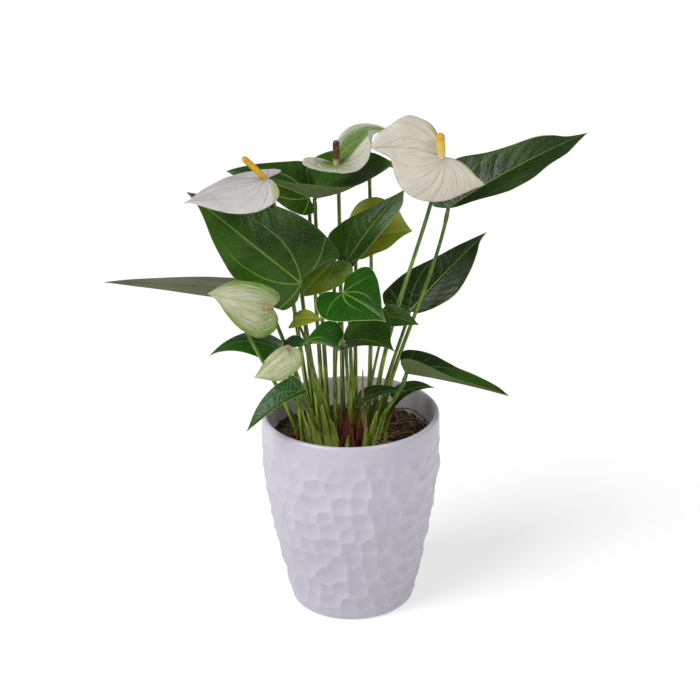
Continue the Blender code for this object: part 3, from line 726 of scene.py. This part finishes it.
def spathe_finish(name, white, shade, green, vein, veins=SPATHE_VEINS, wrinkle=7.0):
    """Waxy bract: white broken by soft shade, green where the green value says, with veins at
    even steps of fan that leave the stalk and bend to the tip, and a faint net between them."""
    f = Finish(name)
    s, t, half, tint, below, fan, away, reach = f.values(
        "across", "down", "half_mm", "green", "under", "fan", "away_mm", "reach")
    a = abs(s)
    wander = f.noise(55.0, 2.0) - 0.5
    off = f.every(fan * veins + wander * 0.175) * (away / veins)
    lines = f.line(off, 0.08, 0.6) * f.span(t, 0.8, 1.0, 1.0, 0.2) * f.span(away, 1.0, 4.0)
    lines = f.math("MAXIMUM", lines, f.line(a * half, 0.3, 0.9))
    net = f.net(300.0, 0.10)
    streak = f.noise(1.0, 3.0, f.vector(s, t), (26.0, 5.0, 1.0))
    base = f.mix(f.span(f.noise(35.0, 4.0), 0.3, 0.75), white, shade)
    patch = f.span(tint + (streak - 0.5) * 1.1, 0.25, 0.85) * f.span(tint, 0.02, 0.2)
    base = f.mix(patch, base, green)
    base = f.mix(lines * 0.55, base, vein)
    base = f.mix(net * 0.10, base, vein)
    base = f.mix(f.line((1.0 - a) * half, 0.1, 0.7) * 0.3, base, vein)
    ripple = f.noise(1.0, 4.0, f.vector(fan, reach, f.math("SIGN", s)), (6.0, 3.0, 1.0))
    height = f.noise(700.0, 2.0) * 0.3 - lines + ripple * wrinkle - net * 0.3
    return f.made(f.mix(below * 0.35, base, shade), f.noise(80.0, 3.0) * 0.15 + 0.36,
                  height, 0.00018, 0.8)


def stem_finish(name, deep, light, low):
    """Green with long streaks down the stem, deeper towards the blade, olive at the foot."""
    f = Finish(name, Specular_IOR_Level=0.35)
    around, along = f.values("around", "along")
    turn = around * (2 * math.pi)
    streak = f.noise(2.2, 4.0, f.vector(f.math("SINE", turn) * 1.6, f.math("COSINE", turn) * 1.6,
                                        along * 5.0))
    pale = f.span(streak, 0.4, 0.62) - f.span(along, 0.35, 0.9, 0.0, 0.5)
    tone = f.mix(f.span(pale, 0.0, 1.0), deep, light)
    tone = f.mix(f.span(f.noise(420.0, 2.0), 0.62, 0.74) * 0.35, tone, light)
    tone = f.mix(f.line(along, 0.0, 0.16, 0.8), tone, low)
    return f.made(tone, streak * 0.2 + 0.26, streak + f.noise(800.0, 2.0) * 0.2, 0.00025, 0.6)


def spadix_finish(name, foot, body, top):
    """Tiny florets: painted shade darker in the seams between them, base to tip in three tones."""
    f = Finish(name, Specular_IOR_Level=0.25)
    along, floret = f.values("along", "floret")
    tone = f.mix(f.span(along, 0.12, 0.36), foot, body)
    tone = f.mix(f.span(along, 0.55, 0.95), tone, top)
    # painted shade: a darker copy of the body colour in the seams between florets
    tone = f.mix(f.line(floret, 0.1, 0.7, 0.55), tone, tuple(0.45 * c for c in body))
    tone = f.mix(f.span(f.noise(500.0, 3.0), 0.5, 0.8) * 0.3, tone, foot)
    return f.made(tone, f.noise(300.0, 2.0) * 0.2 + 0.45, f.noise(1400.0, 2.0), 0.00015, 0.6)


def pot_finish():
    """Satin glaze: cool pale grey with faint drift, painted shade darker to the foot and painted
    light whiter inside.
    """
    f = Finish("satin_glaze", Coat_Weight=0.12, Coat_Roughness=0.25)
    ridge, inside = f.values("ridge", "inside")
    tone = f.mix(f.span(f.noise(9.0, 3.0), 0.3, 0.7), (0.455, 0.43, 0.505), (0.50, 0.475, 0.54))
    # painted shade: darker towards the foot, where less light reaches
    tone = f.mix(1.0 - f.span(f.height(), 0.0, 0.15, 0.74, 1.0), tone, (0.10, 0.09, 0.13))
    # painted highlight: a touch paler where the hammer marks meet
    tone = f.mix(ridge * 0.05, tone, (0.74, 0.72, 0.78))
    # painted light: the inner wall whiter, standing in for the light that falls on it
    tone = f.mix(inside * 0.85, tone, (0.74, 0.73, 0.74))
    tone = f.mix(f.span(f.noise(900.0, 2.0), 0.70, 0.76) * 0.18, tone, (0.42, 0.4, 0.46))
    return f.made(tone, f.noise(30.0, 4.0) * 0.14 + 0.30, f.noise(420.0, 4.0), 0.00012, 0.5)


def soil_finish(name, deep, light, fleck):
    """Damp peat: dark with brown crumbs, pale flecks of fibre and grit, painted shade in cracks.
    """
    f = Finish(name)
    tone = f.mix(f.span(f.noise(90.0, 5.0), 0.35, 0.7), deep, light)
    tone = f.mix(f.span(f.noise(420.0, 3.0), 0.62, 0.72), tone, fleck)
    # painted shade: near-black lines in the cracks between crumbs
    tone = f.mix(f.net(260.0, 0.12) * 0.7, tone, (0.004, 0.003, 0.002))
    return f.made(tone, f.span(f.noise(150.0, 2.0), 0.3, 0.7, 0.72, 0.95),
                  f.noise(500.0, 6.0), 0.0009, 1.0)


def fibre_finish(name, deep, light):
    """Dry papery or rooty stuff with long streaks."""
    f = Finish(name)
    along, around = f.values("along", "around")
    streak = f.noise(3.0, 4.0, f.vector(around * 9.0, along))
    tone = f.mix(f.span(streak, 0.3, 0.7), deep, light)
    tone = f.mix(f.span(f.noise(300.0, 3.0), 0.55, 0.75, 0.0, 0.5), tone, deep)
    return f.made(tone, streak * 0.2 + 0.6, streak, 0.0004, 0.8)


LEAF_SKINS = {
    "dark": leaf_finish("dark_leaf", (0.006, 0.022, 0.001), (0.030, 0.088, 0.004),
                        (0.20, 0.31, 0.05), (0.20, 0.27, 0.08), (0.060, 0.085, 0.022), 0.31),
    "bright": leaf_finish("bright_leaf", (0.007, 0.052, 0.001), (0.020, 0.110, 0.001),
                          (0.18, 0.34, 0.05), (0.45, 0.55, 0.16), (0.10, 0.15, 0.06), 0.34),
    # the young light green is set high partly as painted light, for blade 07 in the shade of leaf
    # 06
    "young": leaf_finish("young_leaf", (0.06, 0.12, 0.004), (0.27, 0.32, 0.018),
                         (0.30, 0.36, 0.08), (0.30, 0.34, 0.10), (0.16, 0.2, 0.05), 0.36),
    "back": leaf_finish("weathered_leaf", (0.02, 0.05, 0.01), (0.04, 0.08, 0.02),
                        (0.2, 0.25, 0.1), (0.25, 0.27, 0.12), (0.085, 0.09, 0.045), 0.42),
}
WHITE_SPATHE = spathe_finish("white_bract", (0.53, 0.505, 0.49), (0.42, 0.40, 0.39),
                             (0.36, 0.40, 0.12), (0.44, 0.42, 0.34), wrinkle=18.0)
CREAM_SPATHE = spathe_finish("cream_bract", (0.53, 0.485, 0.40), (0.44, 0.40, 0.34),
                             (0.36, 0.38, 0.08), (0.40, 0.38, 0.20), wrinkle=14.0)
GREEN_SPATHE = spathe_finish("greening_bract", (0.50, 0.48, 0.36), (0.34, 0.35, 0.18),
                             (0.10, 0.18, 0.010), (0.30, 0.36, 0.10), 2.3, 6.0)
MOTTLED_SPATHE = spathe_finish("mottled_bract", (0.58, 0.56, 0.50), (0.46, 0.46, 0.36),
                               (0.08, 0.16, 0.012), (0.20, 0.28, 0.06), 3.6)
STEM_SKIN = stem_finish("stem_skin", (0.030, 0.085, 0.003), (0.36, 0.45, 0.055),
                        (0.20, 0.20, 0.05))


# ---------------------------------------------------------------- pot, soil and roots

def pot_radius(height):
    """Outside radius of the pot's smooth body at each height."""
    line = smooth_through([(z, r) for r, z in POT_OUTSIDE], 200)
    return np.interp(height, line[:, 0], line[:, 1])


def hammer_marks(angle, height):
    """Depth of the hammer marks: each mark is a shallow bowl, d squared over twice its radius
    of curvature from its own centre; the surface is the lowest bowl at each place, so soft
    ridges stand where neighbours meet."""
    draw = np.random.default_rng(FIRST_SEED)
    total = np.zeros(np.broadcast(angle, height).shape)
    for row, level in enumerate(np.arange(4.0, 150.0, CELL_HEIGHT)):
        radius = float(pot_radius(level))
        count = int(round(2 * np.pi * radius / CELL_WIDTH))
        for k in range(count):
            turn = (k + 0.5 * (row % 2) + draw.uniform(-0.3, 0.3)) * 2 * np.pi / count
            mid = level + draw.uniform(-3.6, 3.6)
            curve = DISH_CURVE * draw.uniform(0.85, 1.2)
            rise = draw.uniform(-0.12, 0.12)
            off = (angle - turn + np.pi) % (2 * np.pi) - np.pi
            bowl = ((off * radius) ** 2 * 1.1 + (height - mid) ** 2 * 0.85) / (2 * curve) + rise
            total += np.exp(-RIDGE_SHARPNESS * np.minimum(bowl, 4.0))
    return -np.log(total) / RIDGE_SHARPNESS


def add_pot():
    """Half outline turned about the Z axis; the marks push the outside in and out along its
    radius and fade out below the smooth band under the rim."""
    sides = POT_SIDES
    rim = POT_HEIGHT
    outer = np.linspace(159.0, 5.5, POT_ROWS)
    inner = np.array([157.0, 150.0, 140.0, 120.0, 90.0, 60.0, 30.0, 14.0])
    radii = [pot_radius(158.5) - POT_WALL + 0.15, *(pot_radius(inner) - POT_WALL)]
    line = [(0.0, POT_FLOOR), (20.0, POT_FLOOR), (40.0, POT_FLOOR),
            (pot_radius(10.0) - POT_WALL - 3.0, POT_FLOOR + 0.6)]
    line += list(zip(radii[::-1], [*inner[::-1], 158.5]))
    line += [(65.3, 159.6), (65.9, 160.8), (66.7, 161.7), (67.6, rim), (68.5, 161.8),
             (69.3, 161.0), (69.8, 160.0)]
    start = len(line)
    line += list(zip(pot_radius(outer), outer))
    end = len(line)
    line += [(49.1, 3.8), (48.3, 2.2), (46.8, 0.8), (44.6, 0.1), (42.0, 0.0), (20.0, 0.0),
             (0.0, 0.0)]
    line = np.array(line[1:-1])
    start, end = start - 1, end - 1
    turn = turns(sides)
    radius = np.repeat(line[:, :1], sides, 1)
    marks = hammer_marks(turn[None, :], line[start:end, 1:])
    fade = np.clip((MARKS_TOP - outer) / MARKS_FADE, 0, 1) * np.clip((outer - 4) / 8, 0, 1)
    fade = (fade * fade * (3 - 2 * fade))[:, None]
    radius[start:end] += (marks - 0.75) * fade
    height = np.repeat(line[:, 1:], sides, 1)
    points = np.stack([radius * np.cos(turn), radius * np.sin(turn), height], -1)
    count = len(line)
    points = np.vstack([points.reshape(-1, 3), [(0, 0, POT_FLOOR), (0, 0, 0)]])
    first = np.append(np.arange(sides), 0)
    ends = np.vstack([fans(first, count * sides, flip=True),
                      fans(first + (count - 1) * sides, count * sides + 1)])
    # rows of the inner wall, which the finish paints whiter as painted light
    inside = np.zeros((count, sides))
    inside[:start - 7] = 1.0
    # where the marks meet, which the finish paints a touch paler as a painted highlight
    ridge = np.zeros((count, sides))
    ridge[start:end] = np.clip((marks - 0.7) / 0.8, 0, 1) * fade
    make_piece("hammered_pot", points, lattice(count, sides, wrap=True), ends,
               dict(ridge=np.append(ridge.ravel(), [0, 0]),
                    inside=np.append(inside.ravel(), [1, 0])), pot_finish(),
               ["pot"])


def lumps(x, y, seed, scale, count=40):
    """Sum of waves of random heading and phase: a smooth uneven height, about -1 to 1."""
    draw = np.random.default_rng(FIRST_SEED + seed)
    total = np.zeros(np.broadcast(x, y).shape)
    for _ in range(count):
        heading, phase = draw.uniform(0, 2 * np.pi, 2)
        pitch = scale * draw.uniform(0.5, 2.2)
        wave = np.sin((x * np.cos(heading) + y * np.sin(heading)) * 2 * np.pi / pitch + phase)
        total += wave * (pitch / scale) ** 0.5
    return total / count ** 0.5 / 1.4


def soil_height(x, y):
    """Height of the soil: mounded at the crown, sunk on the right, lumpy all over."""
    away = np.hypot(x, y)
    mound = 3.0 * np.exp(-(away / 26) ** 2)
    hollow = 6.0 * np.exp(-((x - 44) ** 2 + (y + 2) ** 2) / 330)
    return (SOIL_TOP - 1.5 + mound - hollow + 1.5 * lumps(x, y, 1, 16)
            + 0.8 * lumps(x, y, 2, 5))


def add_soil():
    """Rings of points from the middle out to the wall, then down it and back under."""
    sides, rings = 240, 74
    turn = turns(sides)[None, :]
    edge = float(pot_radius(SOIL_TOP)) - POT_WALL + 0.4
    away = np.linspace(0.8, edge, rings)[:, None]
    x, y = away * np.cos(turn), away * np.sin(turn)
    top = np.stack([x, y, soil_height(x, y)], -1)
    side_z = np.array([128.0, 100.0, 60.0, 20.0, 9.0])
    side_r = pot_radius(side_z) - POT_WALL + 0.2
    side_r[-1] -= 5
    side = np.stack([side_r[:, None] * np.cos(turn), side_r[:, None] * np.sin(turn),
                     side_z[:, None] + 0 * turn], -1)
    points = np.vstack([top, side])
    count = len(points)
    points = np.vstack([points.reshape(-1, 3), [(0, 0, SOIL_TOP + 1), (0, 0, 9.0)]])
    first = np.append(np.arange(sides), 0)
    ends = np.vstack([fans(first, count * sides), fans(first + (count - 1) * sides,
                                                       count * sides + 1, flip=True)])
    skin = soil_finish("damp_peat", (0.024, 0.016, 0.009), (0.085, 0.055, 0.030),
                       (0.13, 0.09, 0.05))
    make_piece("potting_soil", points, lattice(count, sides, wrap=True), ends, {}, skin,
               ["root_ball"])


def add_crumbs():
    """Small uneven stones of peat and bark, all one piece: a ball of 80 faces pushed out of
    round for each, dropped on the soil."""
    draw = np.random.default_rng(FIRST_SEED + 7)
    work = bmesh.new()
    bmesh.ops.create_icosphere(work, subdivisions=2, radius=1.0)
    ball = np.array([v.co[:] for v in work.verts])
    shell = np.array([[v.index for v in face.verts] for face in work.faces])
    work.free()
    count = 620
    away = 63 * np.sqrt(draw.uniform(0.02, 1, count))
    turn = draw.uniform(0, 2 * np.pi, count)
    x, y = away * np.cos(turn), away * np.sin(turn)
    size = draw.uniform(0.7, 2.3, (count, 1, 3)) * draw.uniform(0.5, 1.2, (count, 1, 1))
    bend = draw.normal(0, 1, (count, 3, 3))
    rough = 1 + 0.16 * np.sin(3.1 * (ball[None] @ bend)).sum(2, keepdims=True)
    spin = np.linalg.qr(draw.normal(0, 1, (count, 3, 3)))[0]
    points = (ball[None] * rough * size) @ spin
    points += np.stack([x, y, soil_height(x, y) + 0.3], 1)[:, None]
    faces = shell[None] + (np.arange(count) * len(ball))[:, None, None]
    skin = soil_finish("peat_crumbs", (0.035, 0.022, 0.012), (0.15, 0.095, 0.050),
                       (0.2, 0.15, 0.09))
    make_piece("peat_crumbs", points.reshape(-1, 3), np.zeros((0, 4), int),
               faces.reshape(-1, 3), {}, skin)


def merged(parts):
    """Several tubes as one piece."""
    points, quads, ends, around, along, start = [], [], [], [], [], 0
    for part in parts:
        points.append(part[0])
        quads.append(part[1] + start)
        ends.append(part[2] + start)
        around.append(part[3])
        along.append(part[4])
        start += len(part[0])
    return (np.vstack(points), np.vstack(quads), np.vstack(ends),
            dict(around=np.concatenate(around), along=np.concatenate(along)))


def add_roots():
    """Loose root strands that loop over the soil, thickest on the right side of the pot."""
    draw = np.random.default_rng(FIRST_SEED + 11)
    groups = {"pale_roots": [], "dark_roots": []}
    for k in range(64):
        right = k % 3 != 2
        centre = draw.uniform(-0.9, 0.9) if right else draw.uniform(1.2, 5.1)
        begin = draw.uniform(10, 34)
        finish = draw.uniform(48, 63)
        swing = draw.uniform(-1.1, 1.1)
        t = np.linspace(0, 1, 7)
        angle = centre + swing * t + draw.normal(0, 0.10, 7)
        away = np.minimum(begin + (finish - begin) * np.sin(t * draw.uniform(1.4, 2.6)) ** 0.9
                          + draw.normal(0, 2.2, 7), 63.2)
        x, y = away * np.cos(angle), away * np.sin(angle)
        lift = draw.uniform(0.3, 2.0) + draw.uniform(0, 9 if right else 3) * np.sin(np.pi * t)
        z = soil_height(x, y) + lift * np.clip(away / 50, 0.2, 1) - 1.0 * (t < 0.05)
        path = smooth_through(np.stack([x, y, z], 1), 34)
        thick = draw.uniform(0.28, 0.75)
        radii = thick * (1 - 0.6 * np.linspace(0, 1, 34) ** 2)
        home = "pale_roots" if k % 5 in (0, 3) else "dark_roots"
        groups[home].append(tube_arrays(path, radii, 6, guide=np.array((0.1, 0.2, 1.0))))
    tones = {"pale_roots": ((0.20, 0.11, 0.045), (0.55, 0.36, 0.17)),
             "dark_roots": ((0.05, 0.026, 0.012), (0.17, 0.095, 0.04))}
    for name, parts in groups.items():
        points, quads, ends, values = merged(parts)
        make_piece(name, points, quads, ends, values, fibre_finish(name, *tones[name]))


# ---------------------------------------------------------------- stems and crown

def stem_path(name, plan, count=64):
    """Cubic curve from below the soil, through the foot, into the blade's base."""
    kind, number = name.rsplit("_", 1)
    if kind == "petiole":
        top = np.array(FOLDED_LEAF["rib"][0] if number == "16" else LEAVES[number]["base"], float)
    else:
        top = np.array(SPADICES[number]["base"], float)
    foot = np.array([*plan["foot"], SOIL_TOP + 1.3])
    bow = np.array([*plan.get("bow", (0, 0)), 0.0])
    flat = (top - foot) * (1, 1, 0)
    rise = np.array([0, 0, top[2] - foot[2]])
    reach = np.array(plan.get("reach", (0, 0, 0)), float)
    low = foot + 0.38 * rise + bow + 0.10 * flat
    high = top - 0.30 * rise - 0.22 * flat + 0.6 * bow + reach
    low = np.array(plan.get("low", low), float)
    high = np.array(plan.get("high", high), float)
    u = np.linspace(0, 1, 160)[:, None]
    curve = ((1 - u) ** 3 * foot + 3 * u * (1 - u) ** 2 * low
             + 3 * u * u * (1 - u) * high + u ** 3 * top)
    below = foot - unit(curve[1] - curve[0]) * 9
    return evenly(np.vstack([below, curve]), count, 0.6)


def add_stems():
    """Tubes along the stem paths: a channel down the upper side, a swollen joint just under
    each blade, wider and paler at the foot."""
    sides = 18
    for name, plan in STEMS.items():
        petiole = name.startswith("petiole")
        wide, narrow = PETIOLE_RADII if petiole else STALK_RADII
        if name in THIN_STEMS:
            wide, narrow = THIN_RADII
        path = stem_path(name, plan)
        size = np.linalg.norm(np.diff(path, axis=0), axis=1).sum()
        t = np.linspace(0, 1, len(path))
        radii = wide + (narrow - wide) * np.minimum(1.6 * t, 1)
        radii = radii + 0.55 * np.exp(-t * size / 16)
        joint = np.exp(-(((1 - t) * size - 6.5) / 4.0) ** 2)
        radii = radii * (1 + (0.30 if petiole else 0.12) * joint)
        turn = turns(sides)
        channel = 1 - 0.16 * np.exp(-((turn - np.pi / 2) / 0.45) ** 2) * petiole
        points, quads, ends, around, along = tube_arrays(
            path, radii[:, None] * channel[None], sides)
        make_piece(name.replace("petiole", "leaf_stem").replace("flower_stalk", "bloom_stem"),
                   points, quads, ends, dict(around=around, along=along), STEM_SKIN,
                   [name])


def sleeve(foot, lean, height, width, wrap, narrow, twist=0.0):
    """Papery sleeve: t runs up it, s round it. Its half width shrinks as 1 - narrow t ** 1.8
    and its middle bows outwards; both faces and the rim close it."""
    rows, columns = 26, 15
    t = np.linspace(0, 1, rows)[:, None]
    s = np.linspace(-1, 1, columns)[None, :]
    half = width / 2 * (1 - narrow * t ** 1.8)
    angle = s * wrap + twist * t
    facing = math.atan2(lean[1], lean[0])
    x = foot[0] + lean[0] * t + half * np.sin(angle) * -math.sin(facing) + half * 0.6 * (
        np.cos(angle) - 1) * math.cos(facing)
    y = foot[1] + lean[1] * t + half * np.sin(angle) * math.cos(facing) + half * 0.6 * (
        np.cos(angle) - 1) * math.sin(facing)
    crinkle = 0.35 * np.sin(9 * t + 5 * s) + 0.25 * np.sin(23 * t - 3 * s)
    z = foot[2] + height * t + 0 * s + crinkle
    upper = np.stack([x, y, z], -1)
    normals = surface_normals(upper, (lean[0], lean[1], 0.01))
    lower = upper - normals * 0.45
    size = rows * columns
    quads = [lattice(rows, columns), lattice(rows, columns, start=size)]
    loop = np.concatenate([np.arange(columns), (np.arange(1, rows) * columns + columns - 1),
                           ((rows - 1) * columns + np.arange(columns - 1))[::-1],
                           (np.arange(rows - 1) * columns)[::-1]])
    quads.append(np.stack([loop[:-1], loop[1:], loop[1:] + size, loop[:-1] + size], 1))
    around = np.tile(((s + 1) / 2 + 0 * t).ravel(), 2)
    along = np.tile((t + 0 * s).ravel(), 2)
    return (np.vstack([upper.reshape(-1, 3), lower.reshape(-1, 3)]), np.vstack(quads),
            np.zeros((0, 3), int), around, along)


def add_sheaths():
    """Dry and green sleeves round the feet of the stems."""
    soil = SOIL_TOP - 3
    draw = np.random.default_rng(FIRST_SEED + 31)
    red = [sleeve((draw.uniform(-9, 8), draw.uniform(-29, -21), soil),
                  (draw.uniform(-4, 4), draw.uniform(-6, 2)), draw.uniform(20, 44),
                  draw.uniform(5, 9), draw.uniform(0.7, 1.4), 0.8, draw.uniform(-1.4, 1.4))
           for _ in range(11)]
    red += [sleeve((draw.uniform(-52, -28), draw.uniform(-24, -6), soil),
                   (draw.uniform(-5, 5), draw.uniform(-6, 4)), draw.uniform(8, 15),
                   draw.uniform(5, 8), 1.0, 0.8, draw.uniform(-1.2, 1.2)) for _ in range(7)]
    tan = [sleeve((x, y, soil), lean, height, width, 0.9, narrow)
           for x, y, lean, height, width, narrow in (
               (11, -26, (1, -4), 34, 6, 0.9), (9, -20, (1, 5), 66, 5, 0.8),
               (-33, -18, (-3, -4), 20, 6, 0.9), (24, -22, (5, -4), 17, 6, 0.9))]
    green = [sleeve((x, y, soil), lean, height, width, 1.3, 0.8)
             for x, y, lean, height, width in (
                 (-26, -24, (-5, -6), 40, 10), (15, -21, (6, -6), 36, 11),
                 (-12, -27, (-2, -6), 30, 9), (-19, -26, (-3, -5), 44, 9),
                 (10, -30, (3, -3), 24, 6), (-3, -31, (1, -2), 18, 5),
                 (17, -27, (7, -3), 30, 6), (-32, -8, (-6, -3), 30, 9),
                 (22, -10, (6, -2), 26, 8))]
    looks = {"crown_sheaths": (red, (0.075, 0.014, 0.007), (0.25, 0.065, 0.032), "dry_sheath"),
             "straw_sheaths": (tan, (0.20, 0.14, 0.04), (0.42, 0.36, 0.16), "dry_sheath"),
             "green_sheaths": (green, (0.12, 0.20, 0.012), (0.52, 0.58, 0.11), "petiole_green")}
    for name, (parts, deep, light, slot) in looks.items():
        points, quads, ends, values = merged(parts)
        stands_for = ["crown_sheath"] if name == "crown_sheaths" else []
        make_piece(name, points, quads, ends, values, fibre_finish(name, deep, light),
                   stands_for)


# ---------------------------------------------------------------- leaves and flowers

def add_leaves():
    """Every blade with its tone: the folded one between its lines, the rest as blade grids."""
    for tone, numbers in TONE.items():
        for number in numbers:
            if number == "16":
                plan = FOLDED_LEAF
                grid = skinned_grid(**plan)
            else:
                plan = dict(LEAVES[number], phase=0.37 * int(number))
                if number in OUTLINES:
                    plan.update(own_outline(number))
                grid = blade_grid(**plan)
            sheet_piece("blade_" + number, grid, plan["face"], LEAF_THICKNESS, LEAF_RIDGE,
                        dict(tone=LEAF_TONE_AND_PAINTED_LIGHT.get(number, 0.0),
                             veined=1.0 if number in CLEAR_VEINS else FAINT_VEINS),
                        LEAF_SKINS[tone], ["leaf_" + number])


def add_spathes():
    """The bracts, with green where each one greens."""
    skins = {"1": WHITE_SPATHE, "2": MOTTLED_SPATHE, "3": CREAM_SPATHE}
    for number, plan in BIG_SPATHES.items():
        grid = skinned_grid(**plan)
        points, s, t = grid[:3]
        near = np.linalg.norm(points - points[0, 0], axis=2)
        if number == "1":
            green = 1.0 * np.exp(-((s - 0.95) / 0.3) ** 2) * np.exp(-((t - 0.16) / 0.12) ** 2)
            green = green + 0.35 * np.exp(-(near / 7) ** 2)
        elif number == "2":
            green = np.where(s > 0, 1.05 - 0.3 * t, 0.8 - 1.0 * t) * (1 - abs(s) ** 6)
            green = green + 0.3 * np.exp(-(near / 9) ** 2)
        else:
            green = 0.95 * np.exp(-((s + 1) / 0.4) ** 2) * np.exp(-((t - 0.2) / 0.2) ** 2)
            green = green + 1.3 * np.exp(-((s - 1) / 0.14) ** 2) * np.exp(
                -((t - 0.13) / 0.13) ** 4)
        sheet_piece("bract_" + number, grid, plan["face"], SPATHE_THICKNESS, SPATHE_RIDGE,
                    dict(green=green), skins[number],
                    ["spathe_" + number])
    for number, plan in SMALL_SPATHES.items():
        grid = blade_grid(**plan, **own_outline("bract_" + number), quilt=0.15, wave=0.5)
        s, t = grid[1], grid[2]
        green = 0.60 - 0.34 * t + 0.5 * abs(s) ** 4
        if number == "5":
            green = 0.46 - 0.12 * t + 0.35 * abs(s) ** 4
        sheet_piece("bract_" + number, grid, plan["face"], SPATHE_THICKNESS, SPATHE_RIDGE,
                    dict(green=green), GREEN_SPATHE, ["spathe_" + number])


def add_spadices():
    """Blunt rod whose radius swells and ends round, with florets as bumps: between two crossing
    spirals where their count round the rod is even, in rings and rows where it is odd."""
    looks = {"1": ((0.62, 0.42, 0.06), (0.72, 0.42, 0.02), (0.60, 0.33, 0.02)),
             "2": ((0.66, 0.56, 0.32), (0.085, 0.026, 0.012), (0.05, 0.016, 0.009)),
             "3": ((0.72, 0.60, 0.32), (0.74, 0.52, 0.10), (0.62, 0.30, 0.02)),
             "4": ((0.50, 0.36, 0.18), (0.52, 0.36, 0.18), (0.42, 0.24, 0.12)),
             "5": ((0.46, 0.33, 0.18), (0.48, 0.32, 0.17), (0.40, 0.22, 0.12))}
    for number, plan in SPADICES.items():
        rows, sides = 110, 54
        way = unit(plan["way"])
        t = np.linspace(0, 1, rows)
        length, radius = plan["length"], plan["radius"]
        path = np.array(plan["base"], float) + way * (t[:, None] * (length + 1.0) - 1.0)
        path = path + np.array((0.0, 0.0, 0.6)) * np.sin(np.pi * t)[:, None]
        shape = np.where(t < 0.86, 0.84 + 0.16 * np.sin(np.clip(t / 0.55, 0, 1) * np.pi / 2),
                         np.sqrt(np.clip(1 - ((t - 0.86) / 0.14) ** 2, 0.004, 1)))
        turn = turns(sides)
        rounds = max(6, int(round(2 * np.pi * radius / FLORET_PITCH)))
        climb = length / FLORET_PITCH
        one = np.sin(rounds * turn[None] / 2 + np.pi * climb * t[:, None])
        two = np.sin(rounds * turn[None] / 2 - np.pi * climb * t[:, None])
        floret = np.sqrt(abs(one * two)) if rounds % 2 == 0 else np.sqrt(
            abs(np.sin(rounds * turn[None]) * np.sin(np.pi * climb * t[:, None])))
        radii = radius * shape[:, None] * (1 + 0.10 * (floret - 0.5))
        points, quads, ends, _, along = tube_arrays(path, radii, sides)
        bumps = np.append(floret.ravel(), [0.5, 0.5])
        make_piece("floret_spike_" + number, points, quads, ends,
                   dict(along=along, floret=bumps), spadix_finish("florets_" + number,
                                                                  *looks[number]),
                   ["spadix_" + number])


# ---------------------------------------------------------------- studio

def add_studio():
    """Pale floor that glows a little, a backdrop seen near white that lights only softly, a
    broad sun from the front left and a soft lamp at the front right."""
    mesh = bpy.data.meshes.new("floor")
    mesh.from_pydata([(-6, -6, 0), (6, -6, 0), (6, 9, 0), (-6, 9, 0)], [], [(0, 1, 2, 3)])
    floor = placed("floor", mesh)
    f = Finish("studio_floor", Roughness=0.9)
    f.put(f.shader.inputs["Base Color"],
          f.mix(f.noise(2.0), (0.50, 0.50, 0.50), (0.52, 0.52, 0.52)))
    f.shader.inputs["Emission Color"].default_value = (1.0, 1.0, 1.0, 1.0)
    f.shader.inputs["Emission Strength"].default_value = FLOOR_GLOW
    mesh.materials.append(f.skin)
    world = bpy.data.worlds.new("studio")
    world.use_nodes = True
    world.node_tree.nodes["Background"].inputs[0].default_value = (1.0, 1.0, 1.0, 1.0)
    seen = world.node_tree.nodes.new("ShaderNodeLightPath")
    level = world.node_tree.nodes.new("ShaderNodeMath")
    level.operation = "MULTIPLY_ADD"
    level.inputs[1].default_value = BACKDROP_SEEN
    level.inputs[2].default_value = BACKDROP_LIGHT
    world.node_tree.links.new(seen.outputs["Is Camera Ray"], level.inputs[0])
    world.node_tree.links.new(level.outputs[0], world.node_tree.nodes["Background"].inputs[1])
    bpy.context.scene.world = world
    for name, kind, place, aim, size, power in (
            ("key", "SUN", (-1.25, -0.85, 1.5), (0, 0, 0), math.radians(38), 2.8),
            ("fill", "AREA", (1.25, -1.15, 1.6), (0, 0, 0.25), 0.6, 13.0)):
        data = bpy.data.lights.new(name, kind)
        data.energy = power
        if kind == "SUN":
            data.angle = size
        else:
            data.size = size
        lamp = placed(name, data)
        lamp.location = place
        lamp.rotation_euler = (Vector(aim) - Vector(place)).to_track_quat("-Z", "Y").to_euler()
    bpy.context.scene.view_settings.view_transform = "Standard"


def add_camera():
    """Long lens from the front and above, tipped a little to the right."""
    data = bpy.data.cameras.new("camera")
    data.lens, data.sensor_width = 105.9, 36.0
    data.clip_start, data.clip_end = 0.05, 50.0
    eye = placed("camera", data)
    place, target = Vector((0.0003, -1.4755, 0.8322)), Vector((0.0003, 0.0, 0.2135))
    turn = (target - place).to_track_quat("-Z", "Y").to_matrix().to_4x4()
    eye.matrix_world = Matrix.Translation(place) @ turn @ Matrix.Rotation(
        math.radians(-0.8), 4, "Z")
    bpy.context.scene.camera = eye


add_camera()
add_studio()
add_pot()
add_soil()
add_crumbs()
add_roots()
add_leaves()
add_spathes()
add_spadices()
add_stems()
add_sheaths()

bpy.context.view_layer.update()
